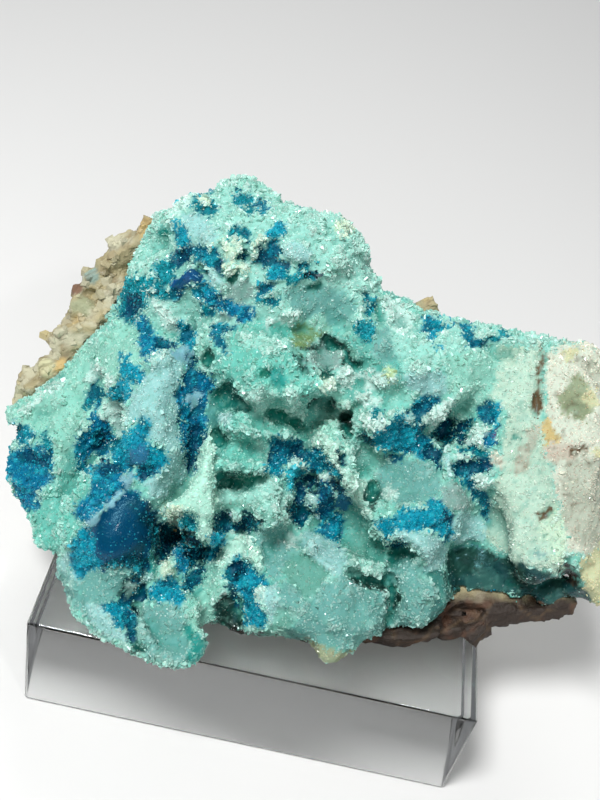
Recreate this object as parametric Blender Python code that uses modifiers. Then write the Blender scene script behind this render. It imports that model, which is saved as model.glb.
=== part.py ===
"""A hemimorphite crust on its matrix rock, resting on a clear block.

The stone is shaped in millimetres in a face frame: u runs to the right, v up and w out of
the crust. One matrix leans it back on the block and turns everything into metres, +Z up.
The origin is the middle of the block's underside."""
import math
import random

import bmesh
import bpy
from mathutils import Euler, Matrix, Vector, noise

# The clear block, in millimetres
BLOCK_WIDTH = 58.0
BLOCK_DEPTH = 58.0
BLOCK_HEIGHT = 16.5
BLOCK_BEVEL = 0.5

# How the stone leans on the block: the crust's face looks up and to the front
FACE_RISE = 40.3
FACE_TURN = -1.8
FACE_ROLL = 13.8
FACE_CENTRE = (-1.8, -7.4, BLOCK_HEIGHT + 27.1)

# Clearances between touching pieces
REST_GAP = 0.3
PARTING_GAP = 0.45

# The surface between crust and rock: its depth, how it falls away to the rim, and how it
# comes forward along the foot, where the rock shows as a thin rim
PARTING_DEPTH = -13.0
PARTING_FALL_SIDE = 2.0
PARTING_FALL_TOP = 2.0
PARTING_RISE_FOOT = 10.0
PARTING_RIPPLE = 0.8
PARTING_RIPPLE_SCALE = 0.09
STONE_HALF_WIDTH = 40.0
STONE_HALF_HEIGHT = 32.0
FOOT_START = -20.0
FOOT_LENGTH = 12.0
PAST_THE_STONE = 1.3
IN_FRONT_OF_ALL = 30.0

# The crust's grain: voxels of the merged forms, swells, coarse grain and small knobs
CRUST_VOXEL = 0.7
CRUST_TRIANGLES = 8200
CRUST_CHIPS = 6
SWELL_HEIGHT = 1.0
SWELL_SCALE = 0.16
GRAIN_HEIGHT = 0.7
GRAIN_SCALE = 0.45
KNOB_COUNT = 420
KNOB_RADIUS = (0.7, 1.5)

# The rock's breaks: voxels, flat chips on each piece, swells and the cells between cracks
ROCK_VOXEL = 0.9
ROCK_TRIANGLES = 2300
ROCK_CHIPS = 12
CRYSTAL_CHIPS = 4
CHIP_REACH = (0.62, 0.8)
ROCK_SWELL_HEIGHT = 1.2
ROCK_SWELL_SCALE = 0.12
CELL_HEIGHT = 1.4
CELL_SCALE = 0.22
CELL_SINK = 0.6

SEED = 11

# Rounded forms of the crust: name, centre, radii, spin about w in degrees
LUMPS = (
    ("floor", (-3.0, -7.0, -17.0), (30.0, 21.0, 9.5), 0),
    ("floor right", (23.0, -8.0, -17.0), (17.0, 13.0, 8.5), 0),
    ("floor foot", (-13.0, -23.0, -11.5), (10.0, 6.5, 6.0), 0),
    ("upper lobe", (-4.6, 17.2, -8.0), (12.4, 9.2, 8.5), -6),
    ("upper lobe left shoulder", (-12.0, 21.6, -9.0), (5.6, 5.6, 6.5), 30),
    ("upper lobe top", (-7.6, 25.6, -11.0), (5.2, 3.6, 6.0), -8),
    ("upper lobe right", (4.4, 18.6, -9.0), (5.0, 5.6, 7.5), 0),
    ("upper lobe low right", (6.2, 13.0, -9.0), (4.2, 5.0, 6.5), 0),
    ("upper left slope", (-17.6, 13.6, -11.0), (5.6, 7.4, 8.0), -14),
    ("upper left edge", (-22.6, 6.6, -13.0), (5.4, 6.8, 8.0), -24),
    ("left shelf", (-28.6, -2.4, -15.0), (8.6, 4.8, 6.5), 28),
    ("left lobe", (-33.6, -10.0, -15.0), (6.0, 8.6, 7.0), 6),
    ("left lobe foot", (-31.4, -18.4, -14.0), (5.4, 4.8, 6.5), 0),
    ("white ridge", (-18.8, -5.0, -5.0), (4.3, 11.9, 7.0), -8),
    ("white ridge top", (-19.3, 3.9, -8.0), (5.8, 5.1, 7.0), 0),
    ("vein bed", (-12.4, 0.0, -10.0), (5.2, 9.1, 7.0), 0),
    ("blue bulge", (-24.0, -15.0, -5.0), (6.3, 8.8, 8.0), -20),
    ("blue bulge low", (-24.1, -23.6, -7.0), (6.1, 5.3, 8.0), 0),
    ("blue bulge left", (-28.4, -19.4, -10.0), (3.6, 6.5, 7.0), 0),
    ("foot white", (-16.8, -28.8, -6.0), (4.6, 4.6, 6.0), 0),
    ("foot tip", (-15.4, -31.0, -2.4), (3.2, 1.8, 3.2), 0),
    ("mid bed", (-6.5, -10.5, -11.0), (10.5, 12.0, 9.0), 0),
    ("blade mass", (-2.5, 3.5, -5.0), (7.3, 4.6, 7.5), 10),
    ("blade mass left", (-8.3, 7.0, -6.0), (5.3, 4.8, 6.5), 0),
    ("ledge high", (-6.3, -3.5, -6.0), (6.1, 1.7, 8.5), -6),
    ("ledge low", (-7.8, -8.3, -6.0), (5.0, 1.6, 8.5), -4),
    ("granular rim", (-4.8, -13.9, -6.0), (6.6, 1.8, 8.0), 0),
    ("cavity lip right", (4.8, -7.9, -6.0), (2.3, 5.6, 6.5), 8),
    ("knob field", (15.5, 3.9, -9.0), (10.6, 5.9, 8.0), 0),
    ("knob left", (9.0, 6.4, -8.0), (4.9, 4.4, 7.0), 0),
    ("knob centre", (10.9, -3.2, -7.0), (3.8, 3.6, 6.5), 0),
    ("right bed", (17.3, -9.3, -14.0), (10.3, 10.3, 9.0), 0),
    ("blue patch low right", (14.8, -15.5, -9.0), (6.7, 4.4, 8.0), 0),
    ("hanging lobe", (15.1, -18.4, -6.5), (2.8, 2.8, 6.0), 0),
    ("saddle", (20.7, 6.2, -13.0), (9.0, 3.4, 7.0), -10),
    ("apron", (0.0, -24.5, -8.0), (11.0, 6.6, 9.0), 0),
    ("apron right", (6.5, -27.6, -9.0), (6.5, 4.4, 7.5), 0),
    ("apron tip", (4.2, -31.6, -5.0), (3.2, 2.0, 4.0), 0),
    ("apron left", (-7.9, -25.0, -8.0), (4.3, 6.1, 8.0), 0),
    ("right lobe", (15.1, -24.8, -10.0), (4.9, 5.4, 7.0), 0),
    ("teal wall", (26.0, -22.6, -15.0), (10.4, 6.0, 6.5), 10),
)

# Blocky forms of the crust: name, centre, half sizes, turns about u, v and w in degrees
SLABS = (
    ("right block", (31.0, -3.6, -11.0), (8.6, 9.8, 8.0), (6, -6, -5)),
    ("right block foot", (33.8, -15.0, -11.5), (6.6, 7.6, 8.0), (-4, -4, 16)),
    ("right end", (37.5, -8.0, -12.5), (3.4, 12.0, 6.5), (0, 14, -3)),
    ("foot block", (-16.0, -27.6, -4.0), (2.9, 4.0, 4.6), (8, 6, -12)),
)

# Pointed forms: name, foot, tip, foot radius
SPIRES = (
    ("mint spire", (-12.6, -18.5, -3.0), (-12.0, -4.4, 2.4), 3.4),
    ("blade point left", (-6.0, 1.5, -2.0), (-5.0, -0.6, 4.2), 2.0),
    ("blade point middle", (-1.5, 2.0, -2.0), (-0.8, -0.4, 4.8), 2.2),
    ("blade point right", (2.5, 2.8, -2.0), (4.0, 0.8, 3.8), 1.9),
    ("pale blade", (15.5, -5.5, -8.0), (19.0, -1.2, -1.6), 1.6),
    ("hanging column", (1.0, -15.5, -4.0), (1.6, -19.5, -0.8), 1.4),
    ("small ridge", (-25.0, -12.5, 0.5), (-28.5, -7.4, 1.2), 1.6),
)

# Hollows cut into the crust: name, centre, radii, spin about w in degrees
HOLLOWS = (
    ("central cavity", (0.6, -11.2, 0.5), (3.6, 6.0, 6.5), 0),
    ("black hole", (-1.0, -17.2, -1.0), (1.6, 2.2, 6.0), 0),
    ("under the blades", (-1.6, -3.3, 1.5), (5.4, 1.2, 6.0), -3),
    ("ledge slot", (-8.5, -11.0, 0.5), (3.4, 0.9, 6.5), -3),
    ("left dark cavity", (-15.9, -19.8, 0.0), (2.0, 3.8, 5.5), 12),
    ("upper right cavity", (3.8, 5.7, 0.5), (2.5, 2.2, 5.5), 0),
    ("right recess", (16.0, -6.8, -0.5), (6.8, 5.6, 4.5), 0),
    ("right recess arm high", (22.6, -1.4, -1.5), (3.6, 1.4, 4.0), 12),
    ("right recess arm low", (23.6, -12.2, -1.5), (1.9, 4.2, 4.5), 0),
    ("right black hole", (17.0, -3.9, -4.0), (1.7, 1.5, 5.0), 0),
    ("green recess", (12.4, -19.5, -2.0), (2.2, 1.4, 5.0), 0),
    ("arch", (-7.2, -25.5, 1.0), (1.4, 4.6, 4.0), 0),
    ("fissure", (11.2, -28.0, -3.0), (0.7, 4.4, 6.0), 0),
    ("vein trough", (-12.9, -1.4, -0.5), (1.5, 6.6, 3.4), -6),
    ("saddle dip", (11.5, 11.4, -6.0), (2.2, 1.6, 6.0), 20),
    ("left notch", (-27.4, -8.8, -4.0), (1.3, 5.4, 4.5), -12),
    ("top pit", (-15.5, 17.4, -2.0), (1.8, 1.4, 2.6), 30),
    ("white lump pit", (-3.0, 13.6, 1.2), (2.4, 1.3, 2.0), -10),
)

# Broken pieces that make up the rock: name, centre, half sizes, turns about u, v and w
ROCKS = (
    ("heart", (1.0, -6.5, -22.0), (28.0, 15.0, 12.0), (-8, -4, 3)),
    ("upper shoulder", (-9.0, 12.0, -20.5), (16.0, 10.0, 8.0), (-10, 6, 14)),
    ("upper left wall", (-24.0, 8.0, -18.5), (8.5, 11.5, 5.6), (0, 4, -34)),
    ("left flank", (-30.5, -6.0, -20.5), (8.0, 12.0, 6.5), (8, 6, 8)),
    ("lower left", (-24.0, -19.0, -17.0), (10.0, 8.0, 7.0), (0, 0, 14)),
    ("heel", (-1.0, -22.0, -10.5), (20.0, 10.0, 6.4), (-30, 2, -3)),
    ("right heel", (23.0, -22.5, -15.5), (13.0, 7.0, 6.0), (-24, -4, 12)),
    ("right flank", (29.5, -7.0, -20.0), (11.5, 12.6, 6.4), (-4, -6, 0)),
    ("back hump", (-5.0, 0.0, -31.0), (17.0, 12.0, 7.0), (14, 4, -14)),
    ("back right", (14.0, -7.0, -28.5), (12.0, 9.0, 7.0), (10, -10, 12)),
    ("saddle peak", (16.8, 8.6, -15.0), (1.7, 4.2, 2.6), (0, 0, 30)),
)

# Single crystals on the rock's upper left: name, centre, half sizes, turns about u, v and w
ROCK_CRYSTALS = (
    ("white chip", (-24.6, 21.2, -13.0), (2.0, 1.3, 2.2), (10, 20, 24)),
    ("tan block", (-22.0, 19.0, -12.5), (2.2, 2.6, 2.4), (0, 14, -18)),
    ("grey block", (-26.6, 15.8, -12.6), (2.0, 2.4, 2.4), (12, -8, 34)),
    ("red block", (-30.0, 14.4, -13.6), (1.7, 1.5, 2.2), (0, 10, 12)),
    ("pale block", (-25.6, 11.6, -10.6), (2.9, 1.6, 2.2), (20, 0, 26)),
    ("green block", (-30.6, 11.2, -13.8), (2.2, 1.9, 2.4), (0, 6, -8)),
    ("white block", (-31.0, 8.2, -11.8), (3.5, 1.9, 2.6), (16, 6, -8)),
    ("cream block", (-32.0, 5.0, -12.4), (3.2, 1.9, 2.6), (6, 0, 22)),
    ("yellow block", (-34.6, 3.4, -13.2), (2.6, 2.4, 2.6), (0, 12, 12)),
    ("low chip", (-37.0, 0.0, -14.4), (1.9, 1.9, 2.2), (4, 10, 30)),
    ("right end chip", (38.6, -19.0, -10.0), (2.4, 3.4, 3.0), (0, 12, -20)),
)


def face_to_block():
    """The matrix, in millimetres, that leans the stone back on the block."""
    turn = Matrix.Rotation(math.radians(FACE_TURN), 4, "Z")
    lean = Matrix.Rotation(math.radians(90.0 - FACE_RISE), 4, "X")
    roll = Matrix.Rotation(math.radians(FACE_ROLL), 4, "Z")
    return Matrix.Translation(FACE_CENTRE) @ turn @ lean @ roll


FACE = face_to_block()
TO_METRES = Matrix.Scale(0.001, 4)


def clear_scene():
    for obj in list(bpy.data.objects):
        bpy.data.objects.remove(obj, do_unlink=True)


def collection(name):
    found = bpy.data.collections.new(name)
    bpy.context.scene.collection.children.link(found)
    return found


def new_object(name, bm, into):
    mesh = bpy.data.meshes.new(name)
    bm.normal_update()
    bm.to_mesh(mesh)
    bm.free()
    obj = bpy.data.objects.new(name, mesh)
    into.objects.link(obj)
    return obj


def helper(name, bm):
    """An object that only shapes another one: it is drawn as wire and never rendered."""
    obj = new_object(name, bm, HELPERS)
    obj.hide_render = True
    obj.display_type = "WIRE"
    return obj


def bake_modifiers(obj):
    """Puts the evaluated mesh in the object and takes its modifiers away."""
    depsgraph = bpy.context.evaluated_depsgraph_get()
    mesh = bpy.data.meshes.new_from_object(obj.evaluated_get(depsgraph))
    obj.modifiers.clear()
    obj.data = mesh


def remesh(obj, voxel):
    modifier = obj.modifiers.new("one skin", "REMESH")
    modifier.mode = "VOXEL"
    modifier.voxel_size = voxel
    bake_modifiers(obj)


def smooth(obj, factor, rounds):
    modifier = obj.modifiers.new("soften", "SMOOTH")
    modifier.factor = factor
    modifier.iterations = rounds
    bake_modifiers(obj)


def thin_out(obj, triangles):
    """Brings the mesh down to about this many triangles and keeps its shape."""
    obj.data.calc_loop_triangles()
    modifier = obj.modifiers.new("fewer faces", "DECIMATE")
    modifier.ratio = triangles / len(obj.data.loop_triangles)
    modifier.use_collapse_triangulate = True
    bake_modifiers(obj)


def combine(obj, other, operation):
    modifier = obj.modifiers.new(operation.lower(), "BOOLEAN")
    modifier.operation = operation
    modifier.object = other
    modifier.solver = "EXACT"
    bake_modifiers(obj)


def move_points(obj, distance):
    """Moves each vertex along its normal by distance(point)."""
    mesh = obj.data
    moves = [vertex.normal * distance(vertex.co) for vertex in mesh.vertices]
    for vertex, move in zip(mesh.vertices, moves):
        vertex.co += move
    mesh.update()


def keep_largest_piece(obj):
    """Drops loose crumbs that a cut leaves beside the main body."""
    bm = bmesh.new()
    bm.from_mesh(obj.data)
    left = set(bm.verts)
    pieces = []
    while left:
        piece = {left.pop()}
        edge_of_piece = list(piece)
        while edge_of_piece:
            vertex = edge_of_piece.pop()
            for edge in vertex.link_edges:
                other = edge.other_vert(vertex)
                if other in left:
                    left.discard(other)
                    piece.add(other)
                    edge_of_piece.append(other)
        pieces.append(piece)
    main = max(pieces, key=len)
    crumbs = [vertex for piece in pieces if piece is not main for vertex in piece]
    bmesh.ops.delete(bm, geom=crumbs, context="VERTS")
    bm.to_mesh(obj.data)
    bm.free()


def add_lump(bm, centre, radii, spin=0.0, detail=3):
    place = Matrix.Translation(centre) @ Matrix.Rotation(math.radians(spin), 4, "Z")
    shape = place @ Matrix.Diagonal((*radii, 1.0))
    bmesh.ops.create_icosphere(bm, subdivisions=detail, radius=1.0, matrix=shape)


def turned(centre, degrees):
    turn = Euler([math.radians(angle) for angle in degrees]).to_matrix().to_4x4()
    return Matrix.Translation(centre) @ turn


def add_slab(bm, centre, half_sizes, degrees):
    shape = turned(centre, degrees) @ Matrix.Diagonal((*half_sizes, 1.0))
    bmesh.ops.create_cube(bm, size=2.0, matrix=shape)


def add_spire(bm, foot, tip, radius):
    axis = Vector(tip) - Vector(foot)
    turn = axis.to_track_quat("Z", "Y").to_matrix().to_4x4()
    place = Matrix.Translation((Vector(foot) + Vector(tip)) / 2.0) @ turn
    bmesh.ops.create_cone(
        bm, cap_ends=True, segments=7, radius1=radius, radius2=radius * 0.15,
        depth=axis.length, matrix=place)


def add_chipped_block(bm, centre, half_sizes, degrees, chips, rng):
    """A block with its corners broken away by flat cuts."""
    block = bmesh.new()
    bmesh.ops.create_cube(block, size=2.0)
    for _ in range(chips):
        normal = Vector([rng.uniform(-1.0, 1.0) for _ in range(3)]).normalized()
        reach = sum(abs(part) for part in normal)
        cut = bmesh.ops.bisect_plane(
            block, geom=block.verts[:] + block.edges[:] + block.faces[:],
            plane_co=normal * reach * rng.uniform(*CHIP_REACH), plane_no=normal, clear_outer=True)
        rim = [item for item in cut["geom_cut"] if isinstance(item, bmesh.types.BMEdge)]
        bmesh.ops.contextual_create(block, geom=rim)
    bmesh.ops.transform(
        block, matrix=turned(centre, degrees) @ Matrix.Diagonal((*half_sizes, 1.0)),
        verts=block.verts)
    piece = bpy.data.meshes.new("chipped block")
    block.to_mesh(piece)
    block.free()
    bm.from_mesh(piece)
    bpy.data.meshes.remove(piece)


def parting_depth(u, v):
    """Where the crust ends and the rock begins, at this place on the face."""
    side = (u / STONE_HALF_WIDTH) ** 2
    top = (max(v, 0.0) / STONE_HALF_HEIGHT) ** 2
    foot = min(max((FOOT_START - v) / FOOT_LENGTH, 0.0), 1.2) ** 2
    place = Vector((u * PARTING_RIPPLE_SCALE, v * PARTING_RIPPLE_SCALE, 3.0))
    ripple = PARTING_RIPPLE * noise.noise(place)
    fall = PARTING_FALL_SIDE * side + PARTING_FALL_TOP * top
    return PARTING_DEPTH - fall + PARTING_RISE_FOOT * foot + ripple


def space_before_parting(name, shift):
    """A closed solid that holds everything in front of the parting surface."""
    bm = bmesh.new()
    bmesh.ops.create_grid(bm, x_segments=16, y_segments=13, size=1.0)
    for vertex in bm.verts:
        u = vertex.co.x * STONE_HALF_WIDTH * PAST_THE_STONE
        v = vertex.co.y * STONE_HALF_HEIGHT * PAST_THE_STONE
        vertex.co = Vector((u, v, parting_depth(u, v) - shift))
    top = bmesh.ops.extrude_face_region(bm, geom=bm.faces[:])["geom"]
    for vertex in [item for item in top if isinstance(item, bmesh.types.BMVert)]:
        vertex.co.z = IN_FRONT_OF_ALL
    bmesh.ops.recalc_face_normals(bm, faces=bm.faces[:])
    return helper(name, bm)


def space_below_rest():
    """The half space that the block fills, seen from the face frame, with its gap."""
    bm = bmesh.new()
    half = 100.0
    top = BLOCK_HEIGHT + REST_GAP
    place = FACE.inverted() @ Matrix.Translation((0.0, 0.0, top - half))
    bmesh.ops.create_cube(bm, size=2.0 * half, matrix=place)
    return helper("below_the_stone", bm)


def scatter_knobs(obj, rng):
    """Small rounded knobs, which give the druse its cauliflower look."""
    bm = bmesh.new()
    bm.from_mesh(obj.data)
    bm.faces.ensure_lookup_table()
    front = [face for face in bm.faces if face.normal.z > -0.1]
    for face in rng.sample(front, KNOB_COUNT):
        centre = face.calc_center_median()
        radius = rng.uniform(*KNOB_RADIUS)
        seat = centre + face.normal * radius * rng.uniform(-0.1, 0.5)
        add_lump(bm, seat, (radius, radius, radius), detail=1)
    bm.to_mesh(obj.data)
    bm.free()


def crust_relief(point):
    """Uneven growth: broad swells and a coarse grain."""
    swell = noise.noise(point * SWELL_SCALE) * SWELL_HEIGHT
    grain = noise.noise(point * GRAIN_SCALE + Vector((7.0, 1.0, 4.0))) * GRAIN_HEIGHT
    return swell + grain


def make_crust(before_parting, below_rest, into):
    rng = random.Random(SEED)
    bm = bmesh.new()
    for _, centre, radii, spin in LUMPS:
        add_lump(bm, centre, radii, spin)
    for _, centre, half_sizes, degrees in SLABS:
        add_chipped_block(bm, centre, half_sizes, degrees, CRUST_CHIPS, rng)
    for _, foot, tip, radius in SPIRES:
        add_spire(bm, foot, tip, radius)
    crust = new_object("hemimorphite_crust", bm, into)
    remesh(crust, CRUST_VOXEL)
    smooth(crust, 0.5, 3)
    move_points(crust, crust_relief)
    scatter_knobs(crust, rng)
    remesh(crust, CRUST_VOXEL)
    bm = bmesh.new()
    for _, centre, radii, spin in HOLLOWS:
        add_lump(bm, centre, radii, spin)
    hollows = helper("hollows", bm)
    remesh(hollows, CRUST_VOXEL)
    combine(crust, hollows, "DIFFERENCE")
    remesh(crust, CRUST_VOXEL * 0.9)
    smooth(crust, 0.4, 1)
    thin_out(crust, CRUST_TRIANGLES)
    combine(crust, before_parting, "INTERSECT")
    combine(crust, below_rest, "DIFFERENCE")
    keep_largest_piece(crust)
    return crust


def rock_relief(point):
    """Chipped stone: broad swells, and raised cells with cracks between them."""
    broad = noise.noise(point * ROCK_SWELL_SCALE + Vector((2.0, 9.0, 5.0)))
    nearest = noise.voronoi(point * CELL_SCALE)[0]
    cell = (nearest[1] - nearest[0]) * CELL_HEIGHT - CELL_SINK
    return broad * ROCK_SWELL_HEIGHT + cell


def make_rock(before_parting, below_rest, into):
    rng = random.Random(SEED + 1)
    bm = bmesh.new()
    for _, centre, half_sizes, degrees in ROCKS:
        add_chipped_block(bm, centre, half_sizes, degrees, ROCK_CHIPS, rng)
    rock = new_object("matrix_rock", bm, into)
    remesh(rock, ROCK_VOXEL)
    move_points(rock, rock_relief)
    bm = bmesh.new()
    bm.from_mesh(rock.data)
    for _, centre, half_sizes, degrees in ROCK_CRYSTALS:
        add_chipped_block(bm, centre, half_sizes, degrees, CRYSTAL_CHIPS, rng)
    bm.to_mesh(rock.data)
    bm.free()
    remesh(rock, ROCK_VOXEL * 0.8)
    thin_out(rock, ROCK_TRIANGLES)
    combine(rock, before_parting, "DIFFERENCE")
    combine(rock, below_rest, "DIFFERENCE")
    keep_largest_piece(rock)
    return rock


def make_block(into):
    bm = bmesh.new()
    shape = Matrix.Diagonal((BLOCK_WIDTH, BLOCK_DEPTH, BLOCK_HEIGHT, 1.0))
    lift = Matrix.Translation((0.0, 0.0, BLOCK_HEIGHT / 2.0))
    bmesh.ops.create_cube(bm, size=1.0, matrix=lift @ shape)
    block = new_object("clear_block_stand", bm, into)
    modifier = block.modifiers.new("polished edges", "BEVEL")
    modifier.width = BLOCK_BEVEL
    modifier.segments = 3
    bake_modifiers(block)
    return block


def material(name, colour, roughness, transmission=0.0, ior=1.5):
    found = bpy.data.materials.new(name)
    found.use_nodes = True
    shader = found.node_tree.nodes["Principled BSDF"]
    shader.inputs["Base Color"].default_value = (*colour, 1.0)
    shader.inputs["Roughness"].default_value = roughness
    shader.inputs["Metallic"].default_value = 0.0
    shader.inputs["Transmission Weight"].default_value = transmission
    shader.inputs["IOR"].default_value = ior
    return found


clear_scene()
PARTS = collection("hemimorphite_specimen")
HELPERS = collection("helpers")
HELPERS.hide_render = True

front_of_crust = space_before_parting("front_of_parting", 0.0)
front_of_rock = space_before_parting("front_of_parting_with_gap", PARTING_GAP)
under_stone = space_below_rest()

crust_object = make_crust(front_of_crust, under_stone, PARTS)
rock_object = make_rock(front_of_rock, under_stone, PARTS)
block_object = make_block(PARTS)

crust_object.data.transform(TO_METRES @ FACE)
rock_object.data.transform(TO_METRES @ FACE)
block_object.data.transform(TO_METRES)

crust_object.data.materials.clear()
crust_object.data.materials.append(material("aqua druse", (0.42, 0.72, 0.66), 0.45))
rock_object.data.materials.clear()
rock_object.data.materials.append(material("tan rock", (0.50, 0.40, 0.26), 0.75))
block_object.data.materials.clear()
block_object.data.materials.append(material("clear acrylic", (1.0, 1.0, 1.0), 0.03, 1.0, 1.49))

for part in PARTS.objects:
    part.data.update()
    print(part.name, len(part.data.polygons), "faces")
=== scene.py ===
# %% [markdown]
# # A hemimorphite specimen on its clear block
#
# The real object is a palm-sized stone. A crust of tiny aqua and deep blue crystals has grown
# over one side of a tan rock, and the stone leans on a block of clear acrylic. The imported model
# already holds the three solids at their real size. This file gives them their looks: fine
# relief, tens of thousands of small crystals, colour and gloss.

# %% The frame
import math

import bmesh
import bpy
import numpy as np
from mathutils import Matrix, Vector, noise


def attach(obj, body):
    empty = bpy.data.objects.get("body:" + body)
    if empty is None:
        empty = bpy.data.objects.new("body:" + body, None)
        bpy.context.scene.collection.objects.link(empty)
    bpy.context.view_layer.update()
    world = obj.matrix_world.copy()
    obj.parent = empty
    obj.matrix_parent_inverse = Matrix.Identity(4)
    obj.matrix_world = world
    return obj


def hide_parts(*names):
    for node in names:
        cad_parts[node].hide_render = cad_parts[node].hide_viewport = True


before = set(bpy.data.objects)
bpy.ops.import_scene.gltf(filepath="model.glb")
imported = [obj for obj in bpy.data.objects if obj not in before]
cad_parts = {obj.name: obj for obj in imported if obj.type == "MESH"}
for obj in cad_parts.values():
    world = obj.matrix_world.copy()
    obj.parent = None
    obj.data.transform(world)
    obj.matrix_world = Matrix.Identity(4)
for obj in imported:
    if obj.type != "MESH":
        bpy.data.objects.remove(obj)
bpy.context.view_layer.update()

print("pieces in the frame:", sorted(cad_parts))

# %% [markdown]
# ## The face frame
#
# The crust is easiest to shape when it is seen face on, so its details are made in millimetres
# in a frame of its own: u to the right, v up, and w out of the crust towards the viewer. One
# matrix leans that frame back on the block, just as the solids were leaned.

# %% The matrix between the face and the world
BLOCK_HEIGHT = 16.5
FACE_RISE = 40.3
FACE_TURN = -1.8
FACE_ROLL = 13.8
FACE_CENTRE = (-1.8, -7.4, BLOCK_HEIGHT + 27.1)
MM = 0.001

face = (Matrix.Translation(FACE_CENTRE)
        @ Matrix.Rotation(math.radians(FACE_TURN), 4, "Z")
        @ Matrix.Rotation(math.radians(90.0 - FACE_RISE), 4, "X")
        @ Matrix.Rotation(math.radians(FACE_ROLL), 4, "Z"))
face_to_world = Matrix.Scale(MM, 4) @ face
world_to_face = face_to_world.inverted()
print("the face looks along", tuple(round(part, 2) for part in face.col[2][:3]))

# %% [markdown]
# ## The camera
#
# The photograph was taken square on to the crust. The camera therefore stands on the w axis,
# looks back along it, and has the lens that shows the block's edges at the angles of the photo.

# %% A camera on the face's own axis
PHOTO_WIDTH = 600
PHOTO_HEIGHT = 800
SENSOR = 36.0
FOCAL_PIXELS = 1087.0
VIEW_DISTANCE = 135.0

camera_data = bpy.data.cameras.new("camera")
camera_data.sensor_width = SENSOR
camera_data.lens = FOCAL_PIXELS / PHOTO_HEIGHT * SENSOR
camera_data.clip_start = 0.005
camera_data.clip_end = 10.0
camera = bpy.data.objects.new("camera", camera_data)
camera.rotation_mode = "QUATERNION"
camera.location = face_to_world @ Vector((0.0, 0.0, VIEW_DISTANCE))
camera.rotation_quaternion = face.to_quaternion()
bpy.context.scene.collection.objects.link(camera)
bpy.context.scene.camera = camera
print("lens", round(camera_data.lens, 1), "mm at", round(VIEW_DISTANCE), "mm")

# %% [markdown]
# ## From a point on the stone to a place in the photograph
#
# Every patch of colour and every small pit is listed by where it is seen, in pixels of the
# 600 by 800 photograph. These helpers turn a point of the stone into that pixel, and a pixel
# into a sight line, so that a detail can be set down on the surface that carries it.


# %% Pixels and sight lines
def seen_at(points):
    """The photograph's pixel for each point, given in the face frame."""
    scale = FOCAL_PIXELS / (VIEW_DISTANCE - points[:, 2])
    across = PHOTO_WIDTH / 2 + points[:, 0] * scale
    down = PHOTO_HEIGHT / 2 - points[:, 1] * scale
    return np.stack([across, down], axis=1)


def sight_line(across, down):
    """Start and direction of the line of sight through a pixel, in the face frame."""
    start = Vector((0.0, 0.0, VIEW_DISTANCE))
    right = (across - PHOTO_WIDTH / 2) / FOCAL_PIXELS
    up = (PHOTO_HEIGHT / 2 - down) / FOCAL_PIXELS
    return start, Vector((right, up, -1.0)).normalized()


def ramp(value, low, high):
    """0 below low, 1 above high, and a smooth rise between them."""
    part = np.clip((value - low) / (high - low), 0.0, 1.0)
    return part * part * (3.0 - 2.0 * part)


print("the middle of the face is at", seen_at(np.zeros((1, 3)))[0])

# %% [markdown]
# ## Noise over many points
#
# Natural growth is uneven at every size. Blender's own noise functions take one point at a
# time, so these two helpers run them over a whole list of points.


# %% Clouds and cells
def clouds(points, size, octaves=3, shift=0.0):
    """Soft noise from about -1 to 1, with forms about this many millimetres wide."""
    offset = Vector((shift, -shift, shift * 0.5))
    return np.array([
        noise.fractal(Vector(point) / size + offset, 0.6, 2.0, octaves) for point in points])


def cells(points, size, shift=0.0):
    """Rounded bumps: 1 in the middle of each cell and 0 on the lines between cells."""
    offset = Vector((shift, shift * 0.7, -shift))
    found = [noise.voronoi(Vector(point) / size + offset)[0] for point in points]
    nearest = np.array([distances[:2] for distances in found])
    return np.clip(nearest[:, 1] - nearest[:, 0], 0.0, 1.0)


middle = np.zeros((1, 3))
print("in the middle: cloud", clouds(middle, 1.0).round(2), "and cell", cells(middle, 1.0).round(2))

# %% [markdown]
# ## Mesh helpers
#
# A voxel remesh melts overlapping forms into one skin with even faces. It is the natural tool
# for a crust, because lumps can simply be dropped in place and merged, and the result has
# enough points to push around.


# %% Getting meshes in and out
def new_piece(name, mesh):
    piece = bpy.data.objects.new(name, mesh)
    bpy.context.scene.collection.objects.link(piece)
    return piece


def apply_modifier(piece, kind, **settings):
    """Runs one modifier on a piece and keeps its result."""
    modifier = piece.modifiers.new(kind, kind)
    for setting, value in settings.items():
        setattr(modifier, setting, value)
    depsgraph = bpy.context.evaluated_depsgraph_get()
    made = bpy.data.meshes.new_from_object(piece.evaluated_get(depsgraph))
    piece.modifiers.clear()
    piece.data = made


def read_points(mesh):
    points = np.empty(len(mesh.vertices) * 3)
    mesh.vertices.foreach_get("co", points)
    return points.reshape(-1, 3)


def read_normals(mesh):
    normals = np.empty(len(mesh.vertices) * 3)
    mesh.vertices.foreach_get("normal", normals)
    return normals.reshape(-1, 3)


def write_points(mesh, points):
    mesh.vertices.foreach_set("co", points.ravel())
    mesh.update()


def triangle_count(mesh):
    mesh.calc_loop_triangles()
    return len(mesh.loop_triangles)


def crest(mesh, rounds):
    """How far each point stands above its surroundings: above 0 on crests, below in hollows."""
    points, normals = read_points(mesh), read_normals(mesh)
    ends = np.empty(len(mesh.edges) * 2, dtype=np.int64)
    mesh.edges.foreach_get("vertices", ends)
    ends = ends.reshape(-1, 2)
    both = np.concatenate([ends, ends[:, ::-1]])
    neighbours = np.bincount(both[:, 0], minlength=len(points))[:, None]
    smooth = points.copy()
    for _ in range(rounds):
        around = np.stack([
            np.bincount(both[:, 0], weights=smooth[both[:, 1], axis], minlength=len(points))
            for axis in range(3)], axis=1)
        smooth = 0.5 * smooth + 0.5 * around / neighbours
    rise = ((points - smooth) * normals).sum(axis=1)
    return rise / np.percentile(np.abs(rise), 90)


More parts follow.
